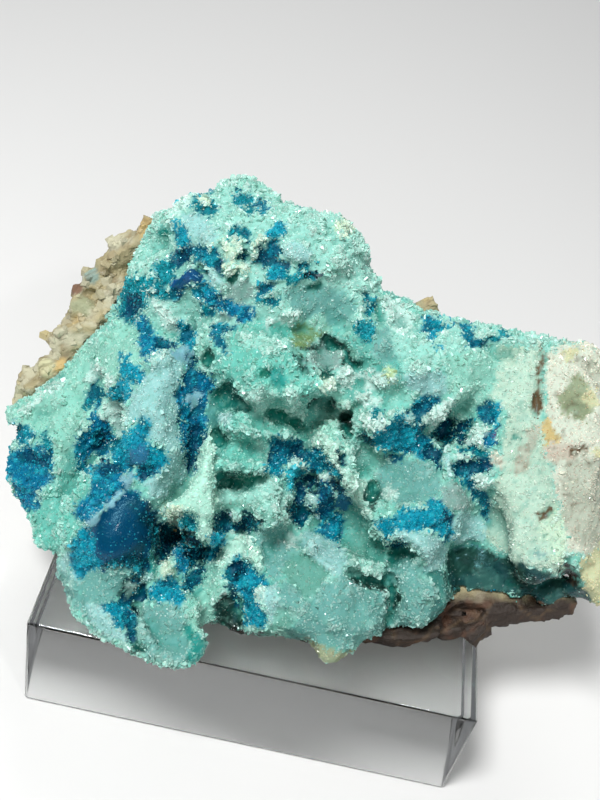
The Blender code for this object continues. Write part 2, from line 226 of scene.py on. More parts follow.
def face_copy(node, name):
    """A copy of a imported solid, in millimetres in the face frame."""
    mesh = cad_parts[node].data.copy()
    mesh.transform(world_to_face)
    mesh.materials.clear()
    bm = bmesh.new()
    bm.from_mesh(mesh)
    bmesh.ops.remove_doubles(bm, verts=bm.verts, dist=0.0005)
    bm.to_mesh(mesh)
    bm.free()
    return new_piece(name, mesh)


print("crust solid:", triangle_count(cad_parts["hemimorphite_crust"].data), "triangles")

# %% [markdown]
# ## Swatches
#
# The colours are named swatches. A swatch is written as a screen colour, from 0
# to 255, and turned into the linear light that shaders work in. Its last number says how
# sugary that growth is: 1 is a carpet of white grains, and 0 is smooth and glassy.


# %% Colours of the growths
def swatch(red, green, blue, sugar):
    screen = np.array([red, green, blue]) / 255.0
    linear = np.where(screen <= 0.04045, screen / 12.92, ((screen + 0.055) / 1.055) ** 2.4)
    return np.append(linear, sugar)


# The near-black swatch and the darkest greens are painted shade: they fill pits, slots, caves and
# the shadowed wall with the dark of the shade there. The slate grey is painted light on that wall.
SWATCHES = {
    "mint": swatch(132, 196, 180, 0.9), "aqua": swatch(108, 188, 172, 0.8),
    "pale": swatch(150, 202, 188, 1.0), "light": swatch(178, 218, 200, 0.9),
    "white": swatch(190, 218, 208, 1.0), "cream": swatch(196, 216, 190, 0.9),
    "leaf": swatch(144, 200, 182, 0.7), "lime": swatch(178, 200, 148, 0.6),
    "frost": swatch(148, 194, 190, 0.6), "mist": swatch(106, 160, 152, 0.65),
    "ivory": swatch(178, 224, 204, 0.55), "plaster": swatch(184, 206, 186, 0.55),
    "chalk": swatch(206, 208, 190, 0.6), "speckle": swatch(182, 184, 166, 0.6),
    "sage": swatch(104, 158, 142, 0.6), "grey": swatch(130, 158, 150, 0.45),
    "shade": swatch(66, 126, 118, 0.4), "slate grey": swatch(50, 92, 86, 0.2),
    "sea": swatch(40, 140, 130, 0.5), "emerald": swatch(10, 104, 84, 0.5),
    "green": swatch(8, 66, 56, 0.5), "pit shade": swatch(16, 40, 32, 0.4),
    "teal": swatch(0, 118, 126, 0.55), "blue teal": swatch(0, 108, 130, 0.55),
    "dark teal": swatch(0, 58, 68, 0.45), "cyan": swatch(40, 180, 194, 0.6),
    "cerulean": swatch(0, 136, 160, 0.6), "blue": swatch(0, 106, 142, 0.55),
    "dark blue": swatch(0, 78, 112, 0.3), "deep": swatch(0, 58, 84, 0.4),
    "navy": swatch(0, 64, 96, 0.08),
    "shade black": swatch(0, 12, 18, 0.3), "violet": swatch(20, 74, 128, 0.05),
    "slate": swatch(40, 104, 136, 0.1), "lilac": swatch(118, 164, 176, 0.25),
    "plum": swatch(84, 54, 96, 0.3), "olive": swatch(112, 138, 88, 0.4),
    "olive grey": swatch(150, 156, 124, 0.4), "cave shade": swatch(18, 26, 18, 0.3),
    "ochre": swatch(196, 170, 112, 0.4), "ochre light": swatch(198, 196, 156, 0.5),
    "brown": swatch(100, 80, 56, 0.3), "umber": swatch(44, 33, 25, 0.2),
    "rust": swatch(112, 76, 54, 0.3), "rust light": swatch(192, 180, 162, 0.5),
    "wall shade": swatch(26, 58, 50, 0.15), "tan": swatch(162, 152, 116, 0.0),
    "quartz": swatch(188, 186, 160, 0.0),
}
print(len(SWATCHES), "swatches")

# %% [markdown]
# ## The growths
#
# What makes this specimen itself is where its growths sit: blue lumps, white knobs, slots,
# ledges and caves. Each is one row: what it is, its swatch, how many millimetres it stands out
# (below 0 for a hollow), and its outline as it is seen in the photograph, in pixels: across and
# down for each corner. One list per region keeps them findable.
#
# ### The upper lobe
#
# The highest lobe is pale mint sugar. A broken blue band crosses it from the left, with white
# granules above it, a glassy violet lump in it, and small dark slots between the granules.

# %% The upper lobe
# Painted light and shade in this table: the white left shoulder and the cream and pale tops of the
# two right lobe knobs, which also stand out as knobs, are painted highlights; the dark slots, the
# granule gap, the granule pit, the glossy rim end and the sage pit are painted shade in near-black,
# dark teal and dark green.
LOBE = (
    ("lobe", "pale", 0.0, (150, 222, 170, 200, 180, 184, 205, 177, 250, 167, 272, 180, 285, 198,
        320, 197, 350, 214, 374, 232, 384, 262, 378, 300, 356, 326, 300, 322, 255, 325, 215, 332,
        160, 322, 134, 320, 118, 302, 128, 275, 140, 250)),
    ("left shoulder", "white", 0.3, (163, 213, 178, 200, 195, 190, 198, 196, 186, 206, 172, 216)),
    ("left edge", "cyan", 0.0, (173, 195, 184, 183, 199, 177, 203, 183, 190, 191, 178, 200)),
    ("smooth cheek", "frost", 0.5, (180, 214, 200, 211, 213, 223, 218, 233, 210, 243, 195, 246,
        187, 238, 182, 226)),
    ("crown blue", "teal", -0.3, (203, 181, 209, 180, 212, 190, 207, 198, 213, 199, 218, 206, 216,
        215, 211, 223, 207, 214, 198, 212, 190, 206, 191, 200, 197, 195, 199, 187)),
    ("crown chip", "cream", 0.6, (198, 198, 205, 197, 208, 203, 203, 208, 199, 205)),
    ("crown teal", "teal", -0.2, (231, 195, 237, 190, 252, 192, 255, 202, 254, 211, 249, 216, 245,
        208, 237, 207, 232, 201)),
    ("crown teal right", "blue teal", -0.4, (256, 199, 260, 196, 265, 201, 271, 208, 266, 214,
        260, 212, 256, 206)),
    ("crown teal far", "teal", -0.2, (294, 200, 301, 199, 311, 201, 309, 206, 302, 208, 296,
        204)),
    ("shoulder cerulean", "cerulean", 0.7, (170, 219, 177, 221, 185, 228, 191, 238, 191, 247, 184,
        250, 177, 249, 173, 241, 173, 231)),
    ("shoulder teal", "sea", 0.2, (157, 229, 166, 226, 171, 232, 165, 239, 158, 236)),
    ("band deep", "deep", -0.8, (171, 251, 181, 249, 191, 242, 199, 247, 197, 257, 188, 262, 178,
        266, 172, 273, 169, 262)),
    ("band left", "teal", 0.5, (155, 262, 165, 259, 173, 264, 176, 276, 168, 284, 159, 281, 152,
        269)),
    ("band middle", "blue teal", -0.3, (192, 247, 205, 245, 217, 250, 223, 257, 223, 268, 217,
        277, 210, 272, 205, 262, 197, 258)),
    ("dark slot", "shade black", -1.6, (198, 262, 204, 266, 210, 275, 208, 282, 202, 276, 197, 269)),
    ("dark slot right", "dark teal", -1.0, (213, 263, 219, 261, 224, 271, 223, 279, 217, 275)),
    ("violet lump", "violet", 1.1, (170, 290, 175, 278, 184, 272, 195, 270, 202, 276, 203, 283,
        195, 285, 186, 287, 179, 292)),
    ("violet lump foot", "deep", 0.2, (168, 290, 178, 290, 184, 291, 178, 301, 170, 300)),
    ("grey sugar", "frost", 0.8, (202, 272, 214, 272, 222, 278, 224, 286, 214, 287, 206, 284)),
    ("cyan sugar", "cerulean", 0.4, (188, 287, 204, 282, 216, 290, 219, 297, 208, 300, 196, 298)),
    ("blue swirl", "blue", 0.9, (212, 290, 222, 300, 232, 296, 243, 301, 251, 307, 256, 316, 251,
        323, 240, 323, 229, 317, 220, 311, 208, 305, 200, 300)),
    ("swirl foot", "teal", 0.2, (200, 303, 212, 305, 217, 312, 210, 319, 203, 314)),
    ("swirl hollow", "grey", -0.8, (217, 313, 228, 315, 232, 320, 224, 322, 217, 319)),
    ("lower blue", "blue teal", -0.6, (213, 325, 222, 323, 237, 326, 241, 330, 228, 333, 223, 338,
        227, 345, 234, 352, 226, 352, 216, 347, 211, 338, 210, 330)),
    ("cyan flecks", "cerulean", 0.2, (222, 352, 232, 348, 237, 353, 228, 362, 218, 362)),
    ("cream granules", "cream", 1.2, (216, 241, 226, 237, 231, 243, 236, 235, 242, 240, 241, 250,
        238, 259, 232, 263, 226, 258, 222, 248)),
    ("cream granules low", "cream", 1.0, (222, 262, 232, 266, 245, 262, 252, 268, 247, 277, 238,
        273, 229, 277, 223, 271)),
    ("cream granules right", "cream", 0.9, (251, 254, 256, 240, 262, 235, 265, 241, 259, 250, 254,
        259)),
    ("teal arc", "teal", -0.6, (227, 232, 235, 226, 243, 228, 250, 232, 252, 239, 246, 246, 240,
        238, 233, 234, 226, 240)),
    ("granule gap", "dark teal", -1.4, (240, 252, 243, 247, 248, 255, 245, 263, 240, 259)),
    ("granule pit", "green", -1.4, (228, 277, 238, 272, 241, 278, 234, 284, 225, 282)),
    ("bright blue", "cerulean", 0.6, (265, 233, 272, 224, 279, 221, 288, 227, 285, 235, 279, 240,
        270, 237)),
    ("dark blue body", "dark teal", -0.8, (257, 251, 263, 242, 272, 239, 280, 242, 284, 250, 282,
        258, 289, 264, 289, 271, 279, 271, 270, 269, 261, 269, 255, 262)),
    ("dark blue heart", "blue teal", 0.3, (264, 247, 272, 243, 278, 248, 274, 257, 266, 258)),
    ("bright blue low", "cerulean", 0.5, (267, 271, 277, 266, 285, 270, 283, 279, 276, 284, 268,
        280)),
    ("glossy rim", "teal", 0.9, (284, 268, 294, 272, 304, 270, 313, 269, 319, 276, 313, 282, 302,
        280, 299, 285, 290, 285, 284, 279)),
    ("glossy rim end", "shade black", -0.6, (307, 273, 313, 271, 317, 276, 312, 280, 307, 278)),
    ("rim teal top", "teal", -0.3, (296, 265, 303, 262, 308, 260, 314, 264, 310, 268, 302, 270,
        295, 270)),
    ("frost knob", "frost", 1.1, (284, 246, 292, 239, 302, 243, 313, 254, 306, 261, 295, 263, 286,
        256)),
    ("teal hook", "blue teal", -0.6, (257, 283, 265, 281, 273, 285, 268, 292, 262, 296, 261, 302,
        255, 301, 255, 292)),
    ("teal hook low", "teal", -0.6, (262, 301, 270, 296, 282, 299, 279, 306, 270, 308)),
    ("grey glass", "grey", -0.4, (226, 286, 236, 280, 248, 282, 256, 290, 251, 300, 240, 303, 229,
        298)),
    ("sage side", "mist", -0.4, (283, 290, 300, 286, 320, 285, 342, 290, 357, 305, 352, 322, 330,
        327, 305, 318, 290, 306)),
    ("sage pit", "green", -1.0, (304, 286, 316, 284, 318, 290, 306, 292)),
    ("right lobe knob", "cream", 1.0, (334, 224, 346, 218, 354, 226, 348, 238, 337, 237)),
    ("right lobe knob low", "pale", 1.0, (350, 240, 362, 234, 372, 244, 368, 258, 354, 256)),
    ("right lobe swell", "pale", 0.7, (322, 256, 340, 248, 350, 262, 342, 278, 326, 276)),
    ("right teal", "teal", -0.8, (362, 291, 369, 293, 375, 300, 376, 309, 370, 316, 365, 317, 367,
        305)),
    ("teal dot", "teal", 0.6, (356, 322, 366, 319, 377, 323, 379, 332, 375, 339, 366, 341, 359,
        337, 355, 330)),
)
print(len(LOBE), "growths")

# %% [markdown]
# ### The left side
#
# Lumps of blue run down the left side over a pale skin. They end in a smooth, wet-looking
# navy bulge, and a frosted ridge stands beside them.

# %% The left side
# Painted shade in this table: the navy gap is near-black and the seam foot dark green for the shade
# in them, and the swirl shade is navy shade beside the swirl.
LEFT = (
    ("left skin", "leaf", 0.0, (122, 300, 150, 310, 150, 350, 120, 420, 92, 412, 60, 470, 40, 430,
        0, 430, 0, 418, 25, 402, 40, 390, 65, 375, 85, 345, 110, 332)),
    ("left skin edge", "white", 0.3, (20, 410, 40, 392, 62, 378, 68, 382, 46, 396, 28, 412)),
    ("top left blue", "teal", 0.6, (118, 287, 126, 277, 140, 275, 153, 277, 166, 285, 170, 296,
        158, 300, 150, 300, 143, 312, 134, 325, 124, 323, 117, 312, 119, 298)),
    ("top left deep", "deep", -0.9, (124, 296, 132, 290, 140, 296, 140, 310, 132, 321, 123, 314)),
    ("white fleck", "white", 0.6, (146, 288, 152, 286, 155, 291, 149, 295)),
    ("ridge edge", "white", 0.5, (152, 300, 166, 306, 178, 318, 184, 332, 176, 340, 166, 326, 156,
        314)),
    ("blue step", "blue", 0.8, (132, 323, 142, 315, 151, 322, 153, 332, 164, 338, 176, 346, 166,
        351, 152, 353, 149, 363, 141, 353, 137, 342, 139, 333)),
    ("blue step deep", "deep", -1.2, (157, 338, 177, 346, 166, 351, 156, 347)),
    ("cyan drop", "cerulean", 0.9, (179, 325, 188, 322, 195, 332, 197, 345, 190, 354, 183, 352,
        179, 342)),
    ("violet neck", "lilac", 0.3, (170, 350, 185, 347, 196, 354, 196, 362, 188, 367, 176, 362)),
    ("dark neck", "dark teal", -0.6, (188, 357, 197, 358, 195, 369, 187, 371)),
    ("white collar", "white", 1.0, (150, 360, 156, 352, 166, 352, 171, 360, 164, 367, 153, 368)),
    ("blue drop", "cerulean", 0.7, (121, 351, 130, 353, 133, 364, 141, 368, 146, 378, 139, 385,
        131, 383, 126, 377, 119, 376, 120, 362)),
    ("blue drop low", "cerulean", 0.7, (109, 388, 118, 378, 125, 374, 127, 384, 132, 391, 129,
        398, 125, 407, 120, 403, 111, 401, 106, 394)),
    ("teal fork", "teal", 0.3, (82, 403, 87, 391, 94, 380, 100, 387, 106, 396, 100, 402, 94, 403,
        87, 411, 81, 407)),
    ("white chips", "white", 0.9, (84, 380, 90, 368, 99, 362, 104, 368, 99, 378, 91, 384)),
    ("white chips low", "white", 0.8, (104, 382, 110, 373, 116, 375, 115, 384, 108, 390)),
    ("blue stem", "blue", 0.4, (94, 402, 101, 400, 101, 413, 109, 420, 113, 428, 117, 440, 108,
        444, 108, 454, 100, 458, 92, 451, 86, 464, 78, 459, 72, 452, 75, 442, 84, 431, 90, 422,
        92, 412)),
    ("blue stem heart", "deep", -0.4, (97, 432, 104, 432, 106, 446, 99, 450, 94, 442)),
    ("teal bud", "blue teal", 0.3, (77, 466, 86, 463, 91, 470, 85, 477, 78, 473)),
    ("white sugar", "white", 0.4, (103, 402, 116, 403, 130, 408, 128, 422, 118, 438, 112, 424,
        101, 416)),
    ("ridge", "frost", 0.9, (130, 396, 142, 384, 149, 366, 158, 355, 170, 354, 181, 364, 184, 372,
        178, 390, 179, 420, 184, 450, 190, 473, 182, 491, 170, 497, 152, 500, 142, 486, 158, 474,
        168, 462, 167, 450, 152, 440, 150, 427, 140, 420, 126, 424)),
    ("swirl blue", "cerulean", 0.6, (114, 436, 124, 436, 134, 428, 141, 421, 151, 420, 151, 428,
        147, 438, 151, 446, 161, 447, 168, 453, 167, 463, 158, 475, 148, 479, 139, 483, 133, 478,
        136, 470, 128, 468, 119, 471, 111, 462, 109, 450)),
    ("glass swirl", "slate", 0.9, (127, 456, 134, 446, 144, 446, 151, 454, 148, 465, 140, 470,
        130, 466)),
    ("swirl shade", "deep", -0.8, (148, 466, 160, 462, 158, 472, 148, 478, 140, 480, 138, 472)),
    ("blue tiers", "blue", 0.4, (88, 470, 98, 466, 106, 461, 115, 467, 127, 470, 126, 478, 132,
        488, 141, 494, 138, 501, 120, 495, 112, 501, 104, 510, 96, 517, 88, 523, 80, 521, 71, 514,
        73, 504, 84, 496, 90, 486, 90, 476)),
    ("blue tiers dark", "deep", -0.9, (100, 465, 108, 461, 116, 468, 112, 474, 102, 474)),
    ("tier streak", "cerulean", 0.5, (100, 498, 108, 484, 116, 478, 118, 484, 110, 494, 103,
        504)),
    ("glass chip", "lilac", 1.0, (120, 483, 123, 474, 132, 473, 135, 480, 129, 488, 122, 487)),
    ("bulge", "navy", 0.5, (90, 524, 100, 511, 112, 500, 124, 491, 136, 494, 148, 500, 157, 512,
        166, 526, 174, 537, 168, 549, 158, 560, 150, 572, 138, 577, 124, 574, 108, 575, 92, 580,
        78, 582, 68, 572, 67, 560, 70, 545, 78, 532)),
    ("bulge left", "cerulean", 0.0, (68, 548, 76, 532, 88, 526, 94, 540, 97, 556, 108, 566, 98,
        574, 84, 584, 70, 576)),
    ("bulge side", "dark teal", -0.3, (146, 520, 156, 514, 166, 528, 174, 538, 166, 550, 154, 556,
        150, 542)),
    ("bulge foot", "dark teal", 0.0, (100, 570, 110, 558, 124, 560, 136, 554, 150, 560, 150, 574,
        136, 578, 118, 576)),
    ("bulge crease", "lilac", 0.4, (86, 524, 98, 512, 108, 500, 121, 490, 125, 493, 112, 505, 102,
        516, 90, 530)),
    ("glassy foot", "mist", 0.0, (74, 582, 94, 572, 130, 569, 134, 580, 122, 594, 110, 602, 94,
        606, 80, 596)),
    ("pale edge", "frost", 0.3, (55, 562, 68, 552, 69, 570, 78, 583, 67, 583, 56, 575)),
    ("navy gap", "shade black", -1.4, (128, 576, 143, 577, 150, 585, 146, 600, 134, 604, 118, 601, 123,
        588)),
    ("grey bead", "grey", 0.7, (124, 590, 130, 582, 137, 585, 136, 592, 129, 595)),
    ("aqua rim", "mist", 0.0, (56, 566, 68, 574, 76, 584, 92, 604, 106, 618, 120, 632, 128, 644,
        112, 640, 94, 626, 76, 606, 62, 586)),
    ("blue cluster", "blue teal", 0.7, (96, 607, 108, 600, 128, 599, 134, 610, 130, 626, 118, 630,
        106, 620)),
    ("cluster top", "cerulean", 0.3, (104, 606, 114, 602, 122, 606, 120, 616, 108, 616)),
    ("aqua crumbs", "frost", 0.6, (84, 602, 94, 602, 108, 616, 120, 630, 130, 638, 126, 646, 106,
        636, 90, 620)),
    ("deep seam", "deep", -1.2, (124, 616, 134, 604, 140, 612, 138, 628, 136, 644, 128, 642, 127,
        628)),
    ("seam foot", "green", -0.4, (128, 642, 143, 640, 149, 652, 135, 655)),
    ("left blue rim", "blue teal", 0.3, (-4, 427, 12, 422, 30, 427, 35, 438, 26, 445, 14, 440, 4,
        447, -4, 446)),
    ("left teal", "teal", 0.5, (39, 434, 46, 431, 53, 440, 51, 452, 42, 449)),
    ("left blue", "blue", -0.4, (-4, 452, 14, 450, 30, 445, 40, 448, 51, 452, 53, 462, 50, 474,
        57, 480, 47, 487, 39, 492, 37, 500, 41, 508, 30, 515, 19, 513, 15, 500, 13, 488, 5, 476,
        -4, 467)),
    ("left blue heart", "deep", -0.6, (14, 452, 34, 449, 50, 455, 48, 466, 30, 466, 16, 462)),
    ("left foot", "aqua", 0.2, (4, 478, 13, 488, 16, 502, 20, 515, 42, 508, 40, 494, 58, 482, 62,
        470, 76, 470, 90, 476, 84, 495, 72, 505, 72, 518, 78, 530, 66, 548, 44, 549, 25, 536, 12,
        505)),
)
print(len(LEFT), "growths")

# %% [markdown]
# ### The vein, the blades and the spire
#
# A deep blue vein runs along the ridge. To its right a mass of pale blades and ledges juts
# out over green slots, and a thin white spire stands in front of a black cavity.

# %% The vein, the blades and the spire
# Painted shade in this table: the pockets, the pocket wall, the blade pit, the blade shade, the row
# under the blades, the slot, the ledge shade, the deep slot, the dark wall, the black cavity and
# the cavity foot are dark green, dark teal and near-black for the shade in them.
MIDDLE = (
    ("vein", "blue", -0.7, (186, 371, 195, 368, 206, 372, 215, 380, 219, 387, 215, 396, 207, 398,
        205, 410, 207, 425, 205, 440, 201, 455, 198, 471, 193, 478, 188, 468, 184, 452, 181, 435,
        180, 410, 177, 392, 183, 380)),
    ("vein depth", "deep", -0.8, (188, 430, 200, 425, 200, 446, 196, 466, 191, 472, 187, 456)),
    ("vein flecks", "lilac", 0.4, (186, 398, 196, 392, 203, 396, 198, 408, 189, 409)),
    ("pocket top", "green", -2.0, (200, 352, 208, 349, 215, 360, 210, 369, 202, 365)),
    ("pocket wall", "shade", -1.4, (208, 392, 218, 392, 226, 408, 220, 422, 215, 440, 206, 430)),
    ("pocket", "green", -2.4, (222, 381, 232, 384, 242, 397, 248, 412, 232, 414, 222, 409, 215,
        396)),
    ("pocket low", "green", -2.2, (213, 431, 222, 429, 230, 442, 222, 449, 213, 446)),
    ("blades", "aqua", 1.7, (226, 340, 232, 331, 248, 322, 262, 323, 268, 317, 276, 320, 285, 312,
        297, 309, 301, 318, 294, 327, 290, 338, 297, 350, 300, 361, 311, 370, 319, 371, 321, 388,
        313, 400, 319, 415, 306, 426, 300, 421, 287, 409, 268, 404, 264, 417, 255, 412, 248, 402,
        243, 391, 237, 384, 224, 378, 214, 370, 216, 361, 229, 352, 233, 345)),
    ("blade tips", "white", 0.5, (264, 326, 268, 317, 276, 320, 286, 312, 298, 309, 300, 318, 290,
        324, 280, 322, 272, 328)),
    ("blade steps", "pale", 0.5, (240, 332, 260, 330, 284, 336, 290, 350, 276, 354, 258, 350, 240,
        346)),
    ("blade pit", "emerald", -0.9, (256, 364, 262, 369, 271, 371, 277, 362, 276, 372, 268, 380,
        260, 378)),
    ("blade shade", "sea", -0.4, (268, 372, 280, 366, 288, 380, 280, 392, 270, 386)),
    ("front crystal", "pale", 0.9, (284, 392, 292, 387, 300, 402, 305, 414, 301, 422, 293, 417,
        287, 405)),
    ("left flap", "pale", 0.7, (243, 388, 256, 385, 270, 389, 276, 398, 268, 405, 264, 417, 256,
        411, 247, 402)),
    ("under the blades", "emerald", -2.2, (266, 408, 286, 412, 300, 423, 308, 428, 298, 431, 280,
        425, 268, 419)),
    ("second blade", "aqua", 0.8, (216, 419, 222, 412, 232, 414, 250, 412, 266, 420, 285, 426,
        300, 431, 307, 440, 298, 442, 280, 438, 272, 446, 269, 456, 262, 463, 250, 467, 241, 463,
        240, 473, 220, 473, 213, 460, 213, 449, 226, 443, 229, 432, 220, 426)),
    ("pale crystal", "frost", 0.7, (217, 416, 226, 411, 233, 419, 228, 427, 220, 424)),
    ("round crystal", "pale", 0.6, (252, 444, 262, 438, 268, 446, 262, 454, 253, 452)),
    ("slot", "green", -2.4, (216, 475, 232, 472, 250, 472, 270, 475, 262, 481, 240, 488, 222, 489,
        215, 482)),
    ("slot floor", "emerald", 0.6, (236, 476, 252, 474, 264, 477, 254, 483, 240, 484)),
    ("third ledge", "pale", 1.3, (215, 489, 230, 488, 250, 487, 262, 481, 273, 484, 283, 490, 286,
        501, 291, 515, 286, 531, 270, 520, 258, 508, 240, 505, 222, 509, 212, 506, 210, 492)),
    ("ledge shade", "sage", -0.4, (216, 503, 240, 502, 258, 506, 276, 516, 284, 528, 270, 520,
        256, 511, 236, 509, 216, 511)),
    ("deep slot", "dark teal", -3.0, (216, 513, 232, 511, 236, 521, 242, 512, 252, 512, 263, 522,
        258, 529, 250, 537, 240, 533, 230, 531, 222, 537, 211, 528)),
    ("slot drip", "pale", 2.0, (232, 511, 236, 510, 239, 516, 236, 522, 232, 518)),
    ("spire", "ivory", 0.8, (209, 427, 212, 440, 214, 455, 216, 472, 217, 486, 216, 500, 216, 512,
        212, 522, 214, 540, 206, 543, 200, 538, 196, 524, 190, 516, 182, 512, 172, 508, 164, 508,
        164, 502, 174, 496, 186, 486, 194, 474, 197, 462, 200, 452, 205, 440)),
    ("spire foot", "cream", 0.9, (162, 512, 170, 505, 181, 508, 186, 516, 178, 525, 170, 525)),
    ("spire teal", "teal", -0.4, (180, 519, 188, 514, 196, 516, 198, 526, 192, 533, 184, 529)),
    ("dark wall", "shade black", -2.0, (150, 512, 164, 522, 178, 530, 176, 540, 160, 534, 152, 524)),
    ("black cavity", "shade black", -3.2, (163, 532, 178, 528, 190, 531, 200, 542, 211, 545, 206, 557,
        196, 567, 188, 573, 186, 556, 182, 546, 172, 548, 168, 559, 158, 564, 155, 552, 158,
        540)),
    ("blue column", "blue", 1.6, (174, 546, 181, 542, 187, 552, 188, 566, 185, 579, 178, 572, 173,
        560)),
    ("cavity blue", "cerulean", 0.6, (208, 536, 214, 530, 226, 534, 231, 540, 221, 550, 212, 561,
        205, 561, 203, 552, 212, 546)),
    ("cavity foot", "dark teal", -1.2, (190, 569, 202, 562, 207, 570, 201, 582, 194, 593, 186,
        592, 182, 584, 186, 576)),
    ("aqua needle", "sea", 1.4, (150, 553, 154, 550, 156, 562, 157, 575, 151, 575, 150, 562)),
    ("white tooth", "cream", 1.8, (161, 572, 163, 562, 168, 557, 175, 564, 175, 575, 170, 581,
        163, 578)),
    ("white bead", "frost", 1.0, (140, 578, 147, 573, 152, 578, 149, 585, 142, 584)),
)
print(len(MIDDLE), "growths")

# %% [markdown]
# ### The foot and the arch
#
# Below the cavity a frosted foot hangs over the block. Beside it a white arch frames a blue
# tongue.

# %% The foot and the arch
# Painted shade in this table: under the arch is near-black green, and the tongue hollow and the
# tongue side are near-black and dark teal, for the shade in them.
FOOT = (
    ("foot blue", "cerulean", 0.7, (147, 600, 152, 590, 158, 582, 167, 577, 176, 580, 183, 590,
        187, 598, 185, 607, 176, 603, 168, 599, 158, 603)),
    ("foot", "mist", 1.2, (141, 611, 150, 602, 160, 604, 170, 600, 178, 606, 185, 612, 187, 625,
        181, 632, 191, 640, 193, 651, 185, 661, 172, 666, 158, 663, 149, 657, 143, 640, 139,
        625)),
    ("foot side", "sea", 0.2, (183, 626, 195, 622, 205, 632, 211, 640, 205, 650, 203, 664, 188,
        666, 177, 670, 184, 657, 194, 648)),
    ("arch left leg", "leaf", 0.9, (196, 600, 204, 588, 212, 574, 222, 564, 226, 580, 221, 596,
        217, 610, 214, 625, 212, 641, 203, 637, 196, 630, 189, 620, 188, 608)),
    ("under the arch", "pit shade", -2.6, (216, 602, 226, 596, 236, 598, 243, 612, 245, 625, 237, 631,
        222, 637, 212, 634, 214, 618)),
    ("arch crest", "light", 1.8, (214, 562, 223, 548, 232, 537, 242, 531, 251, 536, 259, 547, 265,
        560, 266, 571, 258, 569, 250, 561, 244, 553, 238, 559, 228, 563, 219, 568)),
    ("tongue", "cerulean", 0.6, (231, 561, 240, 558, 248, 562, 257, 572, 265, 580, 270, 588, 262,
        590, 256, 590, 259, 600, 265, 612, 268, 622, 262, 631, 254, 627, 246, 623, 243, 612, 242,
        600, 236, 590, 230, 582, 227, 572)),
    ("tongue hollow", "shade black", -1.6, (231, 567, 240, 562, 245, 570, 239, 579, 231, 577)),
    ("tongue side", "dark teal", -0.8, (229, 583, 236, 590, 242, 602, 238, 608, 230, 598)),
    ("tongue chip", "white", 0.8, (255, 589, 262, 585, 267, 595, 262, 605, 256, 599)),
    ("arch right leg", "frost", 0.8, (267, 588, 276, 583, 281, 596, 279, 612, 270, 626, 266, 612,
        263, 600)),
    ("arch right foot", "sage", 0.2, (252, 626, 266, 630, 282, 618, 296, 622, 286, 636, 262,
        640)),
)
print(len(FOOT), "growths")

# %% [markdown]
# ### The apron
#
# The apron is a soft aqua swell with shelves of sugar above it, a crack down its right side,
# and a shadowed wall to the right.

